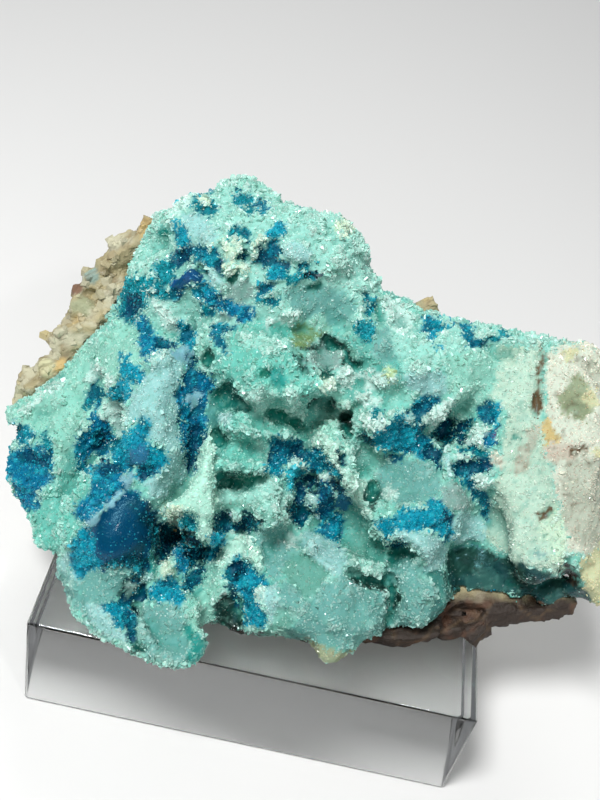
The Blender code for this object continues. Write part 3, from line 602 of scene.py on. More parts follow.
# %% The apron
# Painted light and shade in this table: the shadow wall is painted shade under the right block's
# overhang, the wall light and the wall glint are painted light on it, and the recess under the
# ledge, the right pocket, the fissure and the wall seam are painted shade.
APRON = (
    ("sugar shelf", "mist", 0.7, (253, 533, 262, 525, 272, 528, 281, 521, 291, 531, 301, 535, 301,
        548, 292, 560, 281, 576, 268, 577, 261, 556)),
    ("shelf cap", "white", 0.5, (281, 541, 292, 531, 301, 536, 298, 547, 287, 551)),
    ("shelf right", "frost", 0.9, (303, 536, 312, 529, 323, 539, 335, 540, 343, 550, 349, 560,
        345, 573, 332, 575, 318, 568, 309, 558, 303, 548)),
    ("dip", "sage", -0.8, (287, 557, 300, 551, 312, 562, 330, 572, 322, 585, 308, 597, 297, 590,
        284, 575)),
    ("lower sugar", "mist", 0.6, (277, 588, 290, 583, 301, 593, 307, 606, 296, 615, 283, 609)),
    ("swell", "mist", 1.1, (305, 603, 320, 588, 340, 576, 353, 578, 366, 588, 385, 592, 387, 610,
        389, 630, 387, 643, 379, 657, 368, 655, 360, 646, 345, 651, 330, 647, 313, 641, 299, 641,
        294, 625, 299, 612)),
    ("foot bead", "shade", 0.6, (285, 632, 294, 624, 304, 632, 301, 642, 291, 643)),
    ("apron ledge", "sage", 1.2, (345, 545, 350, 534, 362, 529, 375, 544, 386, 552, 389, 561, 387,
        573, 376, 577, 362, 573, 349, 569)),
    ("ledge sugar", "pale", 0.4, (356, 560, 372, 558, 386, 562, 386, 573, 376, 577, 362, 573)),
    ("recess under ledge", "pit shade", -2.4, (349, 569, 362, 574, 378, 579, 391, 572, 397, 580, 393,
        592, 378, 590, 360, 584, 350, 580)),
    ("pocket right", "green", -2.4, (389, 552, 400, 545, 412, 549, 421, 556, 410, 563, 396, 567,
        387, 567)),
    ("fissure", "pit shade", -2.8, (388, 591, 396, 588, 403, 596, 397, 610, 392, 625, 396, 640, 401,
        648, 391, 650, 386, 640, 386, 620, 388, 605)),
    ("right lobe", "mist", 1.0, (390, 567, 398, 560, 410, 559, 419, 565, 421, 578, 437, 582, 437,
        597, 428, 601, 433, 615, 425, 628, 419, 641, 408, 648, 398, 645, 393, 632, 390, 620, 397,
        606, 403, 596, 396, 586, 389, 578)),
    ("glassy middle", "shade", -0.2, (420, 570, 436, 567, 447, 572, 451, 590, 463, 600, 471, 608,
        467, 623, 450, 634, 432, 638, 419, 638, 428, 620, 433, 605, 439, 592, 434, 582)),
    ("shadow wall", "wall shade", -1.6, (445, 562, 449, 547, 462, 545, 470, 540, 479, 545, 489,
        550, 501, 556, 514, 556, 530, 566, 556, 574, 575, 584, 590, 590, 602, 612, 580, 614, 560,
        612, 540, 607, 520, 603, 505, 604, 490, 604, 478, 612, 466, 622, 458, 604, 450, 590, 446,
        574)),
    ("wall light", "slate grey", 0.5, (464, 578, 476, 568, 492, 568, 506, 582, 508, 596, 490, 601,
        474, 607, 464, 596)),
    ("wall glint", "slate grey", 0.4, (534, 592, 550, 586, 566, 594, 562, 606, 546, 604)),
    ("wall seam", "pit shade", -0.6, (508, 572, 524, 576, 540, 584, 534, 590, 520, 592, 510, 586)),
    ("brown rim", "umber", -0.6, (212, 641, 222, 633, 235, 629, 250, 633, 268, 637, 280, 638, 290,
        644, 308, 640, 313, 650, 296, 656, 275, 658, 262, 655, 243, 653, 222, 650)),
    ("olive shard", "olive grey", 0.4, (308, 639, 330, 648, 345, 651, 362, 652, 368, 657, 345,
        666, 331, 670, 312, 656)),
    ("brown rim right", "umber", -0.4, (465, 625, 472, 612, 488, 603, 505, 606, 525, 607, 552,
        613, 556, 624, 530, 626, 505, 628, 490, 634, 475, 644)),
    ("rust seam", "rust", 0.1, (520, 607, 540, 604, 554, 607, 553, 616, 534, 615)),
)
print(len(APRON), "growths")

# %% [markdown]
# ### The deep blue hollow
#
# The eye of the specimen: a hollow lined with blue, with black clefts, a column of dark blue
# and a few white crystals across it.

# %% The deep blue hollow
# Painted shade in this table: the black hole, the right and far clefts and the dark lip are
# near-black, the lip pit near-black green and the deep cleft navy, for the shade in them.
HOLLOW = (
    ("hollow top", "blue teal", -0.8, (267, 461, 272, 448, 269, 440, 278, 435, 288, 440, 300, 435,
        303, 444, 313, 450, 309, 461, 300, 463, 292, 461, 285, 465, 281, 474, 285, 480, 276, 477,
        267, 469)),
    ("hollow depth", "deep", -1.0, (289, 447, 304, 447, 309, 458, 298, 463, 287, 456)),
    ("hollow cyan", "cerulean", 0.6, (266, 462, 276, 463, 285, 472, 282, 480, 273, 475)),
    ("white thread", "white", 1.2, (289, 460, 300, 461, 311, 468, 303, 471, 294, 467)),
    ("cyan crystal", "cyan", 1.0, (285, 470, 292, 464, 300, 466, 303, 474, 297, 480, 295, 493,
        288, 491, 287, 480)),
    ("pale crystal low", "pale", 1.0, (284, 491, 292, 492, 297, 500, 290, 505, 283, 501, 281,
        494)),
    ("deep cleft", "deep", -2.2, (295, 481, 302, 474, 305, 486, 305, 500, 300, 509, 294, 502, 296,
        490)),
    ("black hole", "shade black", -3.6, (287, 506, 298, 503, 308, 508, 315, 512, 307, 518, 304, 527, 294,
        525, 289, 516)),
    ("hole crystal", "dark teal", 1.4, (289, 509, 297, 508, 300, 513, 292, 515)),
    ("right teal wall", "blue teal", -0.4, (308, 462, 312, 450, 318, 444, 325, 450, 327, 460, 335,
        462, 343, 470, 345, 483, 338, 483, 333, 474, 326, 470, 318, 474, 312, 475, 307, 470)),
    ("cleft right", "shade black", -2.6, (307, 474, 318, 474, 317, 484, 315, 494, 308, 491, 303, 480)),
    ("cleft far", "shade black", -2.2, (328, 474, 336, 478, 345, 487, 351, 499, 341, 501, 334, 490, 328,
        484)),
    ("white lump", "white", 1.8, (319, 476, 324, 472, 329, 476, 328, 483, 321, 483)),
    ("grey lump", "frost", 1.6, (304, 501, 310, 493, 317, 498, 317, 506, 310, 508)),
    ("big column", "dark blue", 1.4, (317, 484, 326, 481, 334, 488, 337, 500, 337, 511, 330, 519,
        322, 521, 313, 518, 310, 512, 317, 506, 318, 496)),
    ("glint sugar", "slate", 0.3, (336, 494, 346, 492, 353, 502, 348, 512, 338, 508)),
    ("column foot", "cerulean", 0.4, (318, 524, 330, 516, 342, 513, 345, 522, 343, 534, 341, 543,
        330, 541, 323, 535, 317, 530)),
    ("right lip", "light", 1.5, (311, 432, 320, 426, 331, 435, 341, 445, 347, 452, 341, 462, 343,
        468, 353, 472, 363, 480, 367, 492, 365, 505, 373, 512, 364, 518, 356, 511, 351, 500, 350,
        492, 344, 478, 336, 466, 328, 458, 321, 448, 311, 442)),
    ("lip dark", "shade black", -1.8, (339, 453, 346, 453, 349, 462, 342, 467, 338, 460)),
    ("lip pit", "pit shade", -1.6, (365, 484, 372, 481, 381, 490, 379, 502, 372, 510, 365, 500)),
    ("lip knob", "pale", 1.1, (346, 452, 356, 446, 368, 450, 370, 462, 360, 468, 349, 464)),
)
print(len(HOLLOW), "growths")

# %% [markdown]
# ### The sheltered hollow
#
# Under the upper lobe there is a sheltered hollow with an olive wall. Rounded white knobs
# stand to the right of it.

# %% The sheltered hollow
# Painted shade in this table: the hollow shadow, the cave, the hollow left, the hollow foot, the
# two small pits and the row under the tuft are near-black, dark green and dark teal for the shade
# in them.
SHELTER = (
    ("olive wall", "olive", -0.8, (292, 331, 300, 324, 311, 321, 319, 315, 327, 316, 329, 329,
        322, 337, 312, 343, 305, 351, 296, 349, 291, 340)),
    ("olive crystal", "leaf", 1.4, (309, 320, 321, 311, 328, 317, 328, 330, 319, 335, 309, 329)),
    ("hollow shadow", "cave shade", -3.0, (299, 350, 318, 343, 326, 335, 340, 341, 351, 350, 356,
        360, 366, 363, 360, 369, 348, 369, 339, 366, 345, 358, 346, 352, 338, 350, 318, 351)),
    ("hollow lumps", "grey", 0.6, (309, 352, 322, 350, 334, 350, 343, 356, 339, 367, 328, 371,
        315, 367, 305, 360)),
    ("hollow crumb", "grey", 1.6, (315, 345, 324, 342, 326, 348, 318, 351)),
    ("hollow left", "pit shade", -1.2, (297, 352, 308, 354, 306, 364, 313, 369, 304, 373, 297, 364)),
    ("hollow foot", "green", -1.6, (317, 369, 330, 368, 335, 377, 326, 381, 317, 379)),
    ("hollow chip", "cream", 0.6, (318, 382, 330, 378, 336, 384, 328, 389, 320, 388)),
    ("small pit", "pit shade", -1.2, (327, 401, 332, 397, 335, 406, 330, 411)),
    ("small pit left", "pit shade", -0.9, (311, 398, 317, 401, 316, 407, 311, 404)),
    ("knob", "white", 1.4, (334, 372, 342, 365, 353, 370, 355, 380, 350, 389, 341, 391, 337,
        382)),
    ("cave wall", "leaf", -0.5, (329, 410, 340, 407, 347, 412, 341, 420, 340, 432, 330, 437, 323,
        430, 325, 420)),
    ("cave", "cave shade", -3.4, (340, 418, 346, 411, 351, 420, 353, 430, 350, 439, 343, 435,
        340, 428)),
    ("cave knob", "light", 1.0, (336, 402, 344, 398, 350, 404, 346, 410, 337, 409)),
    ("knob row", "white", 1.3, (356, 374, 370, 370, 384, 374, 396, 372, 398, 384, 384, 390, 366,
        388)),
    ("lime spot", "lime", 0.2, (384, 370, 392, 366, 397, 374, 391, 380, 385, 378)),
    ("knob row low", "white", 1.0, (352, 394, 368, 390, 384, 396, 380, 406, 362, 406)),
    ("sheltered grey", "mist", -0.5, (376, 330, 390, 322, 402, 330, 402, 348, 392, 362, 382, 366,
        374, 350)),
    ("white tuft", "white", 1.6, (361, 416, 368, 409, 378, 411, 387, 418, 391, 426, 384, 434, 376,
        436, 366, 431, 361, 423)),
    ("tuft teal", "teal", 0.3, (370, 408, 378, 405, 385, 411, 380, 417, 374, 415)),
    ("under the tuft", "dark teal", -1.2, (359, 432, 372, 435, 385, 434, 379, 445, 366, 446, 359,
        441)),
    ("glassy saddle", "frost", -0.3, (404, 376, 420, 368, 446, 372, 449, 380, 446, 391, 440, 401,
        430, 397, 418, 395, 407, 388)),
    ("pale field", "mist", 0.2, (380, 461, 400, 458, 430, 462, 441, 470, 441, 483, 436, 496, 420,
        501, 400, 506, 384, 499, 377, 480)),
    ("field crumbs", "white", 0.8, (383, 490, 390, 484, 397, 490, 394, 501, 386, 501)),
)
print(len(SHELTER), "growths")

# %% [markdown]
# ### The blue recess
#
# A second blue place, with a black cave under a white tongue and a blue tail that runs down
# along the pale block.

# %% The blue recess
# Painted shade in this table: the recess shade on the blue, the recess cave, the cave right of it,
# the recess foot and the lobe shadow are dark teal, navy and near-black for the shade in them.
RECESS = (
    ("recess blue", "cerulean", -0.2, (371, 437, 384, 430, 392, 420, 400, 413, 409, 416, 413, 424,
        421, 430, 431, 434, 433, 443, 430, 453, 424, 461, 415, 455, 404, 451, 394, 456, 385, 449,
        375, 445)),
    ("recess shade", "blue teal", -0.5, (420, 436, 432, 434, 434, 446, 428, 458, 418, 452, 416,
        442)),
    ("recess edge", "blue teal", -0.3, (384, 450, 394, 456, 406, 452, 402, 462, 390, 462)),
    ("recess top", "blue teal", -0.2, (407, 413, 413, 402, 422, 395, 432, 398, 442, 400, 439, 407,
        430, 412, 423, 418, 428, 428, 420, 430, 412, 423)),
    ("needle tuft", "frost", 0.6, (404, 418, 411, 414, 417, 419, 411, 425, 405, 423)),
    ("white tongue", "white", 1.9, (423, 418, 434, 409, 446, 398, 455, 399, 453, 408, 445, 417,
        437, 424, 430, 431, 424, 425)),
    ("recess cave", "shade black", -3.8, (431, 433, 440, 426, 450, 413, 457, 420, 455, 428, 459, 434, 453,
        442, 444, 447, 437, 442)),
    ("cave right", "dark teal", -2.0, (458, 424, 466, 419, 473, 424, 469, 432, 463, 443, 456, 441,
        456, 430)),
    ("recess foot", "dark teal", -1.6, (424, 452, 430, 444, 438, 444, 443, 450, 441, 460, 443,
        475, 438, 471, 430, 459)),
    ("pale strip", "frost", 0.7, (443, 452, 450, 452, 454, 462, 452, 480, 445, 478, 443, 464)),
    ("green pocket", "blue teal", -0.9, (477, 412, 484, 401, 493, 399, 497, 408, 497, 418, 490,
        425, 482, 423, 477, 418)),
    ("blue horn", "cerulean", 0.4, (493, 404, 502, 403, 506, 407, 500, 412, 498, 420, 500, 428,
        496, 431, 492, 422, 494, 412)),
    ("blue bead", "blue", 0.3, (479, 438, 486, 434, 492, 429, 498, 432, 498, 442, 492, 448, 485,
        449, 481, 444)),
    ("plum dot", "plum", 0.2, (493, 434, 496, 432, 498, 435, 495, 438)),
    ("white middle", "white", 1.4, (465, 437, 474, 428, 484, 427, 490, 430, 482, 438, 483, 446,
        474, 449, 465, 445)),
    ("white middle low", "white", 1.0, (455, 451, 466, 452, 473, 456, 463, 461, 455, 457)),
    ("teal thread", "teal", -0.3, (456, 448, 466, 445, 476, 450, 486, 448, 491, 456, 482, 459,
        474, 456, 462, 452)),
    ("deep band", "deep", -1.4, (453, 465, 462, 460, 476, 459, 489, 457, 492, 468, 480, 473, 474,
        477, 466, 479, 457, 475, 453, 470)),
    ("blue tail", "cerulean", -0.4, (461, 479, 472, 477, 478, 486, 485, 494, 493, 500, 495, 512,
        489, 523, 482, 519, 478, 508, 472, 496, 465, 488)),
    ("tail sugar", "white", 0.9, (471, 478, 482, 475, 489, 484, 484, 491, 475, 486)),
    ("grey lobe", "grey", 1.2, (439, 490, 452, 483, 462, 485, 469, 496, 473, 507, 466, 513, 456,
        513, 445, 506)),
    ("grey lobe low", "frost", 0.9, (451, 516, 470, 512, 482, 518, 489, 530, 485, 541, 470, 542,
        460, 546, 449, 541, 450, 528)),
    ("lower blue field", "cerulean", 0.2, (371, 523, 382, 519, 394, 518, 404, 510, 414, 507, 424,
        506, 432, 499, 440, 499, 445, 508, 453, 514, 453, 524, 451, 534, 447, 545, 440, 541, 436,
        531, 424, 530, 412, 533, 404, 534, 396, 530, 391, 540, 385, 541, 383, 530, 376, 529)),
    ("lower blue depth", "deep", -0.8, (444, 511, 455, 513, 452, 527, 446, 522)),
    ("pale lobe", "frost", 1.4, (395, 537, 404, 530, 412, 533, 424, 530, 436, 536, 445, 545, 447,
        556, 441, 567, 430, 571, 423, 562, 420, 552, 412, 544, 402, 543)),
    ("lobe shadow", "dark teal", -1.0, (391, 541, 400, 540, 409, 545, 400, 549, 391, 547)),
)
print(len(RECESS), "growths")

# %% [markdown]
# ### The saddle and the right block
#
# The right end is a big pale block with a dusting of green. It has a brown crack, a pocket of
# olive glass and a few ochre stains.

# %% The saddle and the right block
BLOCK_SIDE = (
    ("saddle", "pale", 0.0, (382, 296, 398, 300, 414, 310, 440, 318, 480, 322, 500, 328, 540, 336,
        560, 340, 548, 350, 520, 346, 480, 348, 452, 352, 430, 368, 404, 376, 396, 352, 384,
        320)),
    ("saddle white", "white", 0.3, (384, 298, 398, 300, 412, 312, 412, 330, 398, 334, 386, 318)),
    ("saddle blue", "cerulean", -0.3, (419, 317, 426, 314, 434, 318, 446, 321, 455, 323, 450, 329,
        444, 328, 438, 332, 437, 340, 441, 347, 436, 347, 430, 338, 424, 332, 421, 324)),
    ("saddle teal", "blue teal", -0.4, (460, 322, 470, 320, 473, 330, 475, 336, 481, 340, 487,
        340, 482, 347, 472, 349, 466, 351, 465, 340, 461, 330)),
    ("saddle lens", "teal", -0.2, (486, 340, 494, 334, 502, 332, 512, 335, 506, 339, 496, 342)),
    ("block left", "leaf", 0.0, (450, 356, 480, 348, 500, 350, 500, 398, 478, 404, 462, 412, 452,
        398, 448, 378)),
    ("block face", "plaster", 0.0, (500, 346, 540, 348, 546, 354, 542, 418, 556, 500, 566, 560,
        556, 574, 530, 566, 500, 552, 488, 540, 492, 500, 500, 470, 506, 410, 494, 396)),
    ("face top", "plaster", 0.0, (508, 362, 528, 358, 536, 372, 534, 396, 528, 420, 512, 412, 506,
        385)),
    ("face grey", "speckle", -0.4, (514, 468, 520, 450, 532, 428, 539, 420, 541, 434, 533, 450,
        527, 466, 520, 482)),
    ("cream blotch", "cream", 0.0, (524, 540, 532, 524, 544, 520, 552, 530, 558, 552, 552, 560,
        538, 556)),
    ("face sugar", "plaster", 0.4, (500, 484, 526, 474, 552, 496, 544, 518, 530, 540, 506, 530)),
    ("block foot", "plaster", 0.0, (486, 530, 500, 515, 530, 520, 546, 540, 552, 560, 530, 566,
        500, 552)),
    ("block right", "chalk", 0.2, (546, 354, 566, 342, 590, 342, 606, 352, 612, 430, 610, 540,
        590, 556, 566, 550, 558, 500, 546, 440)),
    ("crack", "brown", -1.2, (540, 352, 545, 354, 544, 372, 542, 386, 540, 400, 540, 415, 536,
        420, 534, 405, 536, 390, 539, 372, 541, 360)),
    ("olive glass", "olive grey", -0.8, (567, 380, 580, 375, 591, 386, 595, 400, 591, 413, 576,
        417, 561, 413, 559, 402, 566, 392)),
    ("olive ring", "olive grey", -0.6, (562, 410, 570, 403, 584, 404, 592, 412, 584, 419, 570,
        418)),
    ("yellow glass", "ochre light", 0.2, (585, 388, 596, 389, 598, 404, 588, 409, 583, 400)),
    ("yellow corner", "ochre light", 0.1, (561, 353, 575, 345, 581, 350, 568, 360)),
    ("orange scar", "ochre", -0.4, (540, 423, 548, 419, 555, 430, 563, 438, 557, 445, 548, 447,
        542, 438)),
    ("pink crumbs", "rust light", 0.2, (546, 446, 560, 440, 576, 446, 574, 458, 556, 462, 546,
        456)),
    ("brown line", "brown", -0.5, (572, 449, 582, 446, 590, 449, 582, 453, 574, 454)),
    ("yellow line", "ochre light", 0.1, (590, 449, 606, 449, 606, 457, 594, 456)),
    ("speckled face", "speckle", -0.3, (566, 462, 590, 458, 610, 462, 610, 530, 590, 548, 568,
        536, 562, 500)),
    ("triangle hole", "brown", -0.8, (536, 515, 547, 508, 557, 503, 551, 516, 544, 519)),
    ("cream edge", "cream", 0.2, (556, 500, 563, 515, 567, 540, 567, 560, 562, 573, 556, 560, 552,
        540, 547, 520)),
    ("corner dent", "chalk", -0.5, (491, 456, 498, 452, 504, 460, 500, 470, 492, 468)),
    ("green spot", "sage", -0.2, (509, 437, 514, 433, 518, 438, 513, 442)),
    ("grey spot", "grey", -0.2, (533, 553, 541, 549, 547, 554, 540, 560)),
    ("gap", "umber", -2.0, (560, 573, 567, 558, 573, 572, 580, 580, 577, 589, 568, 583)),
    ("yellow end", "ochre light", 0.2, (580, 562, 590, 552, 612, 540, 616, 600, 606, 616, 592,
        604, 584, 586)),
)
print(len(BLOCK_SIDE), "growths")

# %% [markdown]
# ### The regions together
#
# A later row covers an earlier one where the two overlap, so the order of the regions matters.

# %% All the growths
GROWTHS = (*LOBE, *LEFT, *MIDDLE, *FOOT, *APRON, *HOLLOW, *SHELTER, *RECESS, *BLOCK_SIDE)
print(len(GROWTHS), "growths in all")

# %% [markdown]
# ## How deep a point lies inside an outline
#
# One measure serves both shape and colour: the distance from a pixel to the outline, above 0
# inside. Height and colour fade with it. Noise shifts the pixels first, so that no edge is as
# straight as its outline.


# %% Outlines and their edges
def depth_inside(pixels, outline, reach):
    """Which pixels lie within reach of an outline, and how deep inside it they are."""
    corners = np.array(outline, float).reshape(-1, 2)
    boxed = (pixels > corners.min(axis=0) - reach) & (pixels < corners.max(axis=0) + reach)
    near = np.nonzero(boxed.all(axis=1))[0]
    across, down = pixels[near].T
    nearest = np.full(len(near), np.inf)
    inside = np.zeros(len(near), bool)
    for start, end in zip(corners, np.roll(corners, -1, axis=0)):
        side = end - start
        along = ((across - start[0]) * side[0] + (down - start[1]) * side[1]) / (side @ side)
        share = np.clip(along, 0.0, 1.0)
        nearest = np.minimum(nearest, np.hypot(
            across - start[0] - share * side[0], down - start[1] - share * side[1]))
        if side[1]:
            crossing = start[0] + (down - start[1]) * side[0] / side[1]
            inside ^= ((start[1] > down) != (end[1] > down)) & (across < crossing)
    return near, np.where(inside, nearest, -nearest)


def warped(points, amount, size=1.6, shift=0.0):
    """The pixels of the points, shifted a little by noise so that edges wander."""
    pixels = seen_at(points)
    pixels[:, 0] += amount * clouds(points, size, 3, shift + 3.0)
    pixels[:, 1] += amount * clouds(points, size, 3, shift + 17.0)
    return pixels


def facing(normals, low=-0.05, high=0.35):
    """How far a point faces the viewer."""
    return ramp(normals[:, 2], low, high)


square = (0, 0, 10, 0, 10, 10, 0, 10)
print("depth in the middle of a square:", depth_inside(np.array([[5.0, 5.0]]), square, 1.0)[1])

# %% [markdown]
# ## Extra lumps and blocks
#
# Along the outline, the thin rims of the crust and the broken corners of the rock are shapes of
# their own. They are round lumps for the crust and turned boxes for the rock, set down by their
# pixel and by how far out they lie. The remesh then melts them into what carries them.


# %% Forms by pixel
def place_at(across, down, out):
    """The point that is seen at a pixel, at a given height out of the face."""
    start, direction = sight_line(across, down)
    return start + direction * ((out - VIEW_DISTANCE) / direction.z)


def add_forms(piece, forms, make):
    """Adds a form for each row: across, down, out, three half sizes and a turn."""
    bm = bmesh.new()
    bm.from_mesh(piece.data)
    for across, down, out, *half_sizes, turn in forms:
        make(bm, Matrix.Translation(place_at(across, down, out))
             @ Matrix.Rotation(math.radians(turn), 4, "Z")
             @ Matrix.Rotation(math.radians(turn * 0.6 + 20.0), 4, "X")
             @ Matrix.Diagonal((*half_sizes, 1.0)))
    bm.to_mesh(piece.data)
    bm.free()


def lump(bm, matrix):
    bmesh.ops.create_icosphere(bm, subdivisions=2, radius=1.0, matrix=matrix)


def box(bm, matrix):
    bmesh.ops.create_cube(bm, size=2.0, matrix=matrix)


print("a pixel in the middle lies at", place_at(300, 400, 0.0))

# %% [markdown]
# ## The crust's relief
#
# The solid already has the lobes, the ridge, the spire and the large hollows. Every growth then
# pushes the skin towards the viewer: a lump rises quickly at its edge and stays round on top,
# and a hollow is the same form turned inwards. What would sink into the block is lifted onto it.

# %% Pushing the growths
EDGE_PIXELS = 1.6
EDGE_WARP = 3.2
CROWN_POWER = 0.42
HIGHEST, DEEPEST = 3.4, -4.4


def push_growths(piece):
    points, normals = read_points(piece.data), read_normals(piece.data)
    pixels = warped(points, EDGE_WARP)
    height = np.zeros(len(points))
    for _, _, rise, outline in GROWTHS:
        near, depth = depth_inside(pixels, outline, EDGE_PIXELS)
        if rise and len(near):
            crown = (depth + EDGE_PIXELS) / (max(depth.max(), 1.0) + EDGE_PIXELS)
            height[near] += rise * np.clip(crown, 0.0, 1.0) ** CROWN_POWER
    points[:, 2] += np.clip(height, DEEPEST, HIGHEST) * facing(normals, -0.25, 0.2)
    write_points(piece.data, points)


def rest_on_block(points, gap):
    """Lifts what would sink into the block's top."""
    matrix = np.array(face)
    height = points @ matrix[2, :3] + matrix[2, 3]
    lift = np.maximum(BLOCK_HEIGHT + gap - height, 0.0)
    return points + lift[:, None] * matrix[2, :3]


print("growths move the skin by", DEEPEST, "to", HIGHEST, "mm")

# %% [markdown]
# ### Lumps along the rim and down the spire
#
# The crust's rim is ragged, with thin lumps that stand past the solid, and the spire's tip is
# thinner than a simple solid has it. Both are built up from round lumps.

# %% Rim and spire
# across, down, out, half sizes, turn
RIM_LUMPS = (
    (164, 222, -7.5, 1.7, 1.4, 1.6, 30), (157, 233, -8.5, 1.6, 1.7, 1.7, 10),
    (151, 245, -9.5, 1.5, 1.6, 1.8, 20), (144, 257, -9.0, 1.5, 1.5, 1.8, 0),
    (137, 268, -8.5, 1.5, 1.4, 1.8, 0), (100, 345, -11.5, 1.9, 1.4, 2.2, 30),
    (88, 358, -12.0, 2.0, 1.5, 2.2, 30), (76, 372, -12.4, 2.1, 1.6, 2.0, 35),
    (62, 386, -12.6, 2.2, 1.6, 2.0, 30), (46, 396, -12.8, 2.2, 1.4, 2.0, 30),
    (30, 406, -12.8, 2.0, 1.2, 2.0, 30), (16, 414, -12.4, 1.8, 1.1, 2.2, 30),
    (84, 385, -12.0, 2.4, 2.4, 2.2, 0), (66, 402, -12.0, 2.6, 2.0, 2.4, 0),
    (382, 304, -8.5, 1.6, 1.8, 2.2, 0), (385, 315, -8.5, 1.6, 1.8, 2.2, 0),
    (392, 303, -9.5, 1.6, 1.4, 2.0, 0), (403, 308, -9.5, 1.7, 1.4, 2.0, 20),
    (413, 318, -9.0, 1.6, 1.3, 2.0, 0), (428, 319, -9.2, 1.8, 1.3, 2.2, 0),
    (445, 327, -7.5, 1.8, 1.4, 2.2, 0), (461, 330, -7.0, 1.8, 1.4, 2.2, 20),
    (478, 333, -7.2, 1.8, 1.4, 2.2, 0), (495, 336, -8.2, 1.9, 1.5, 2.2, 10),
    (512, 340, -8.2, 2.0, 1.5, 2.4, 0), (530, 344, -7.2, 2.0, 1.5, 2.4, 10),
    (548, 347, -7.2, 2.0, 1.5, 2.4, 0), (566, 352, -6.8, 2.0, 1.5, 2.4, 0),
    (584, 353, -7.0, 2.0, 1.5, 2.4, 0), (600, 361, -7.2, 2.0, 1.6, 2.4, 0),
    (588, 578, -6.0, 2.4, 2.2, 2.2, 0), (600, 592, -6.5, 2.2, 2.0, 2.0, 20),
    (577, 588, -7.5, 2.0, 1.6, 1.8, 0), (562, 588, -9.5, 2.0, 1.8, 1.8, 0),
    (548, 596, -10.0, 2.2, 1.6, 1.6, 0), (84, 611, 0.0, 1.6, 1.4, 1.6, 20),
    (97, 620, 0.3, 1.8, 1.4, 1.6, 20), (111, 629, 0.7, 1.8, 1.4, 1.5, 30),
    (125, 637, 1.1, 1.8, 1.5, 1.5, 30), (137, 645, 1.4, 1.6, 1.5, 1.5, 20),
    (104, 610, 0.5, 2.0, 1.6, 1.8, 0), (120, 620, 0.9, 2.1, 1.8, 1.8, 0),
    (134, 629, 1.2, 1.8, 1.8, 1.8, 0), (146, 641, 1.6, 1.5, 1.6, 1.4, 0),
    (152, 652, 1.8, 1.5, 1.4, 1.4, 0), (164, 657, 1.8, 1.7, 1.2, 1.4, 0),
    (178, 660, 1.6, 1.7, 1.1, 1.4, 0), (190, 655, 1.4, 1.4, 1.3, 1.4, 0),
    (199, 642, 1.0, 1.1, 2.0, 1.3, 0), (345, 383, -4.8, 1.6, 1.6, 1.8, 0),
    (355, 393, -4.6, 1.6, 1.5, 1.8, 0), (343, 402, -5.4, 1.4, 1.4, 1.6, 0),
    (334, 392, -5.0, 1.4, 1.4, 1.6, 0),
)
# across, down, out, half sizes, turn
SPIRE_LUMPS = (
    (209.5, 433, 2.4, 0.50, 0.9, 0.5, -4), (209, 442, 2.6, 0.65, 1.0, 0.7, -4),
    (208, 452, 2.6, 0.85, 1.1, 0.9, -3), (207, 462, 2.6, 1.05, 1.1, 1.0, 0),
    (206, 472, 2.5, 1.25, 1.2, 1.1, 0), (204, 483, 2.4, 1.6, 1.3, 1.2, 0),
    (199, 493, 2.2, 2.0, 1.2, 1.3, 4), (190, 503, 1.8, 2.9, 1.0, 1.3, 8),
    (206, 508, 1.8, 1.2, 1.6, 1.3, 0), (206, 526, 1.2, 0.95, 1.8, 1.2, 0),
)
print(len(RIM_LUMPS), "lumps on the rim and", len(SPIRE_LUMPS), "on the spire")

# %% [markdown]
# ### The crust's skin
#
# A voxel remesh melts the lumps and the solid into one fine skin, and a little smoothing takes
# off the solid's flat facets. Once the growths have pushed that skin, a second remesh evens out
# the faces that were stretched.

# %% The crust's skin
SKIN_VOXEL = 0.45
FINE_VOXEL = 0.395

crust = face_copy("hemimorphite_crust", "crust_skin")
add_forms(crust, RIM_LUMPS + SPIRE_LUMPS, lump)
apply_modifier(crust, "REMESH", mode="VOXEL", voxel_size=SKIN_VOXEL)
apply_modifier(crust, "SMOOTH", factor=0.5, iterations=4)
push_growths(crust)
apply_modifier(crust, "REMESH", mode="VOXEL", voxel_size=FINE_VOXEL)
apply_modifier(crust, "SMOOTH", factor=0.3, iterations=1)
print("crust skin:", triangle_count(crust.data), "triangles")

# %% [markdown]
# ## Laying down the colours
#
# The colour of a growth fills its outline. Noise is added to the depth before the edge is
# drawn, which frays the edge into little tongues and leaves specks outside it, as blue growth
# does between white. The back, which the photograph doesn't show, gets the pale ground with a
# few blue patches.


# %% The growths' paint
PAINT_REACH = 5.0
FRAY_PIXELS = 3.0
SPECK_PIXELS = 2.4
EDGE_SOFTNESS = 0.6
SOFTNESS_BY_DEPTH = 0.05


def mixed(paint, colour, amount):
    return paint + (SWATCHES[colour] - paint) * np.clip(amount, 0.0, 1.0)[:, None]


def blue_share(paint):
    """1 for blue growth, 0 for the green and the pale kinds."""
    red, green, blue = paint[:, 0], paint[:, 1], paint[:, 2] + 1e-6
    return ramp(blue / (green + 1e-6), 0.96, 1.12) * (1.0 - ramp(red / blue, 0.15, 0.35))


def earthy_share(paint):
    """1 for chalk, ochre and brown growth, which has as much red in it as green."""
    return ramp(paint[:, 0] / (paint[:, 1] + 1e-6), 0.84, 0.94)


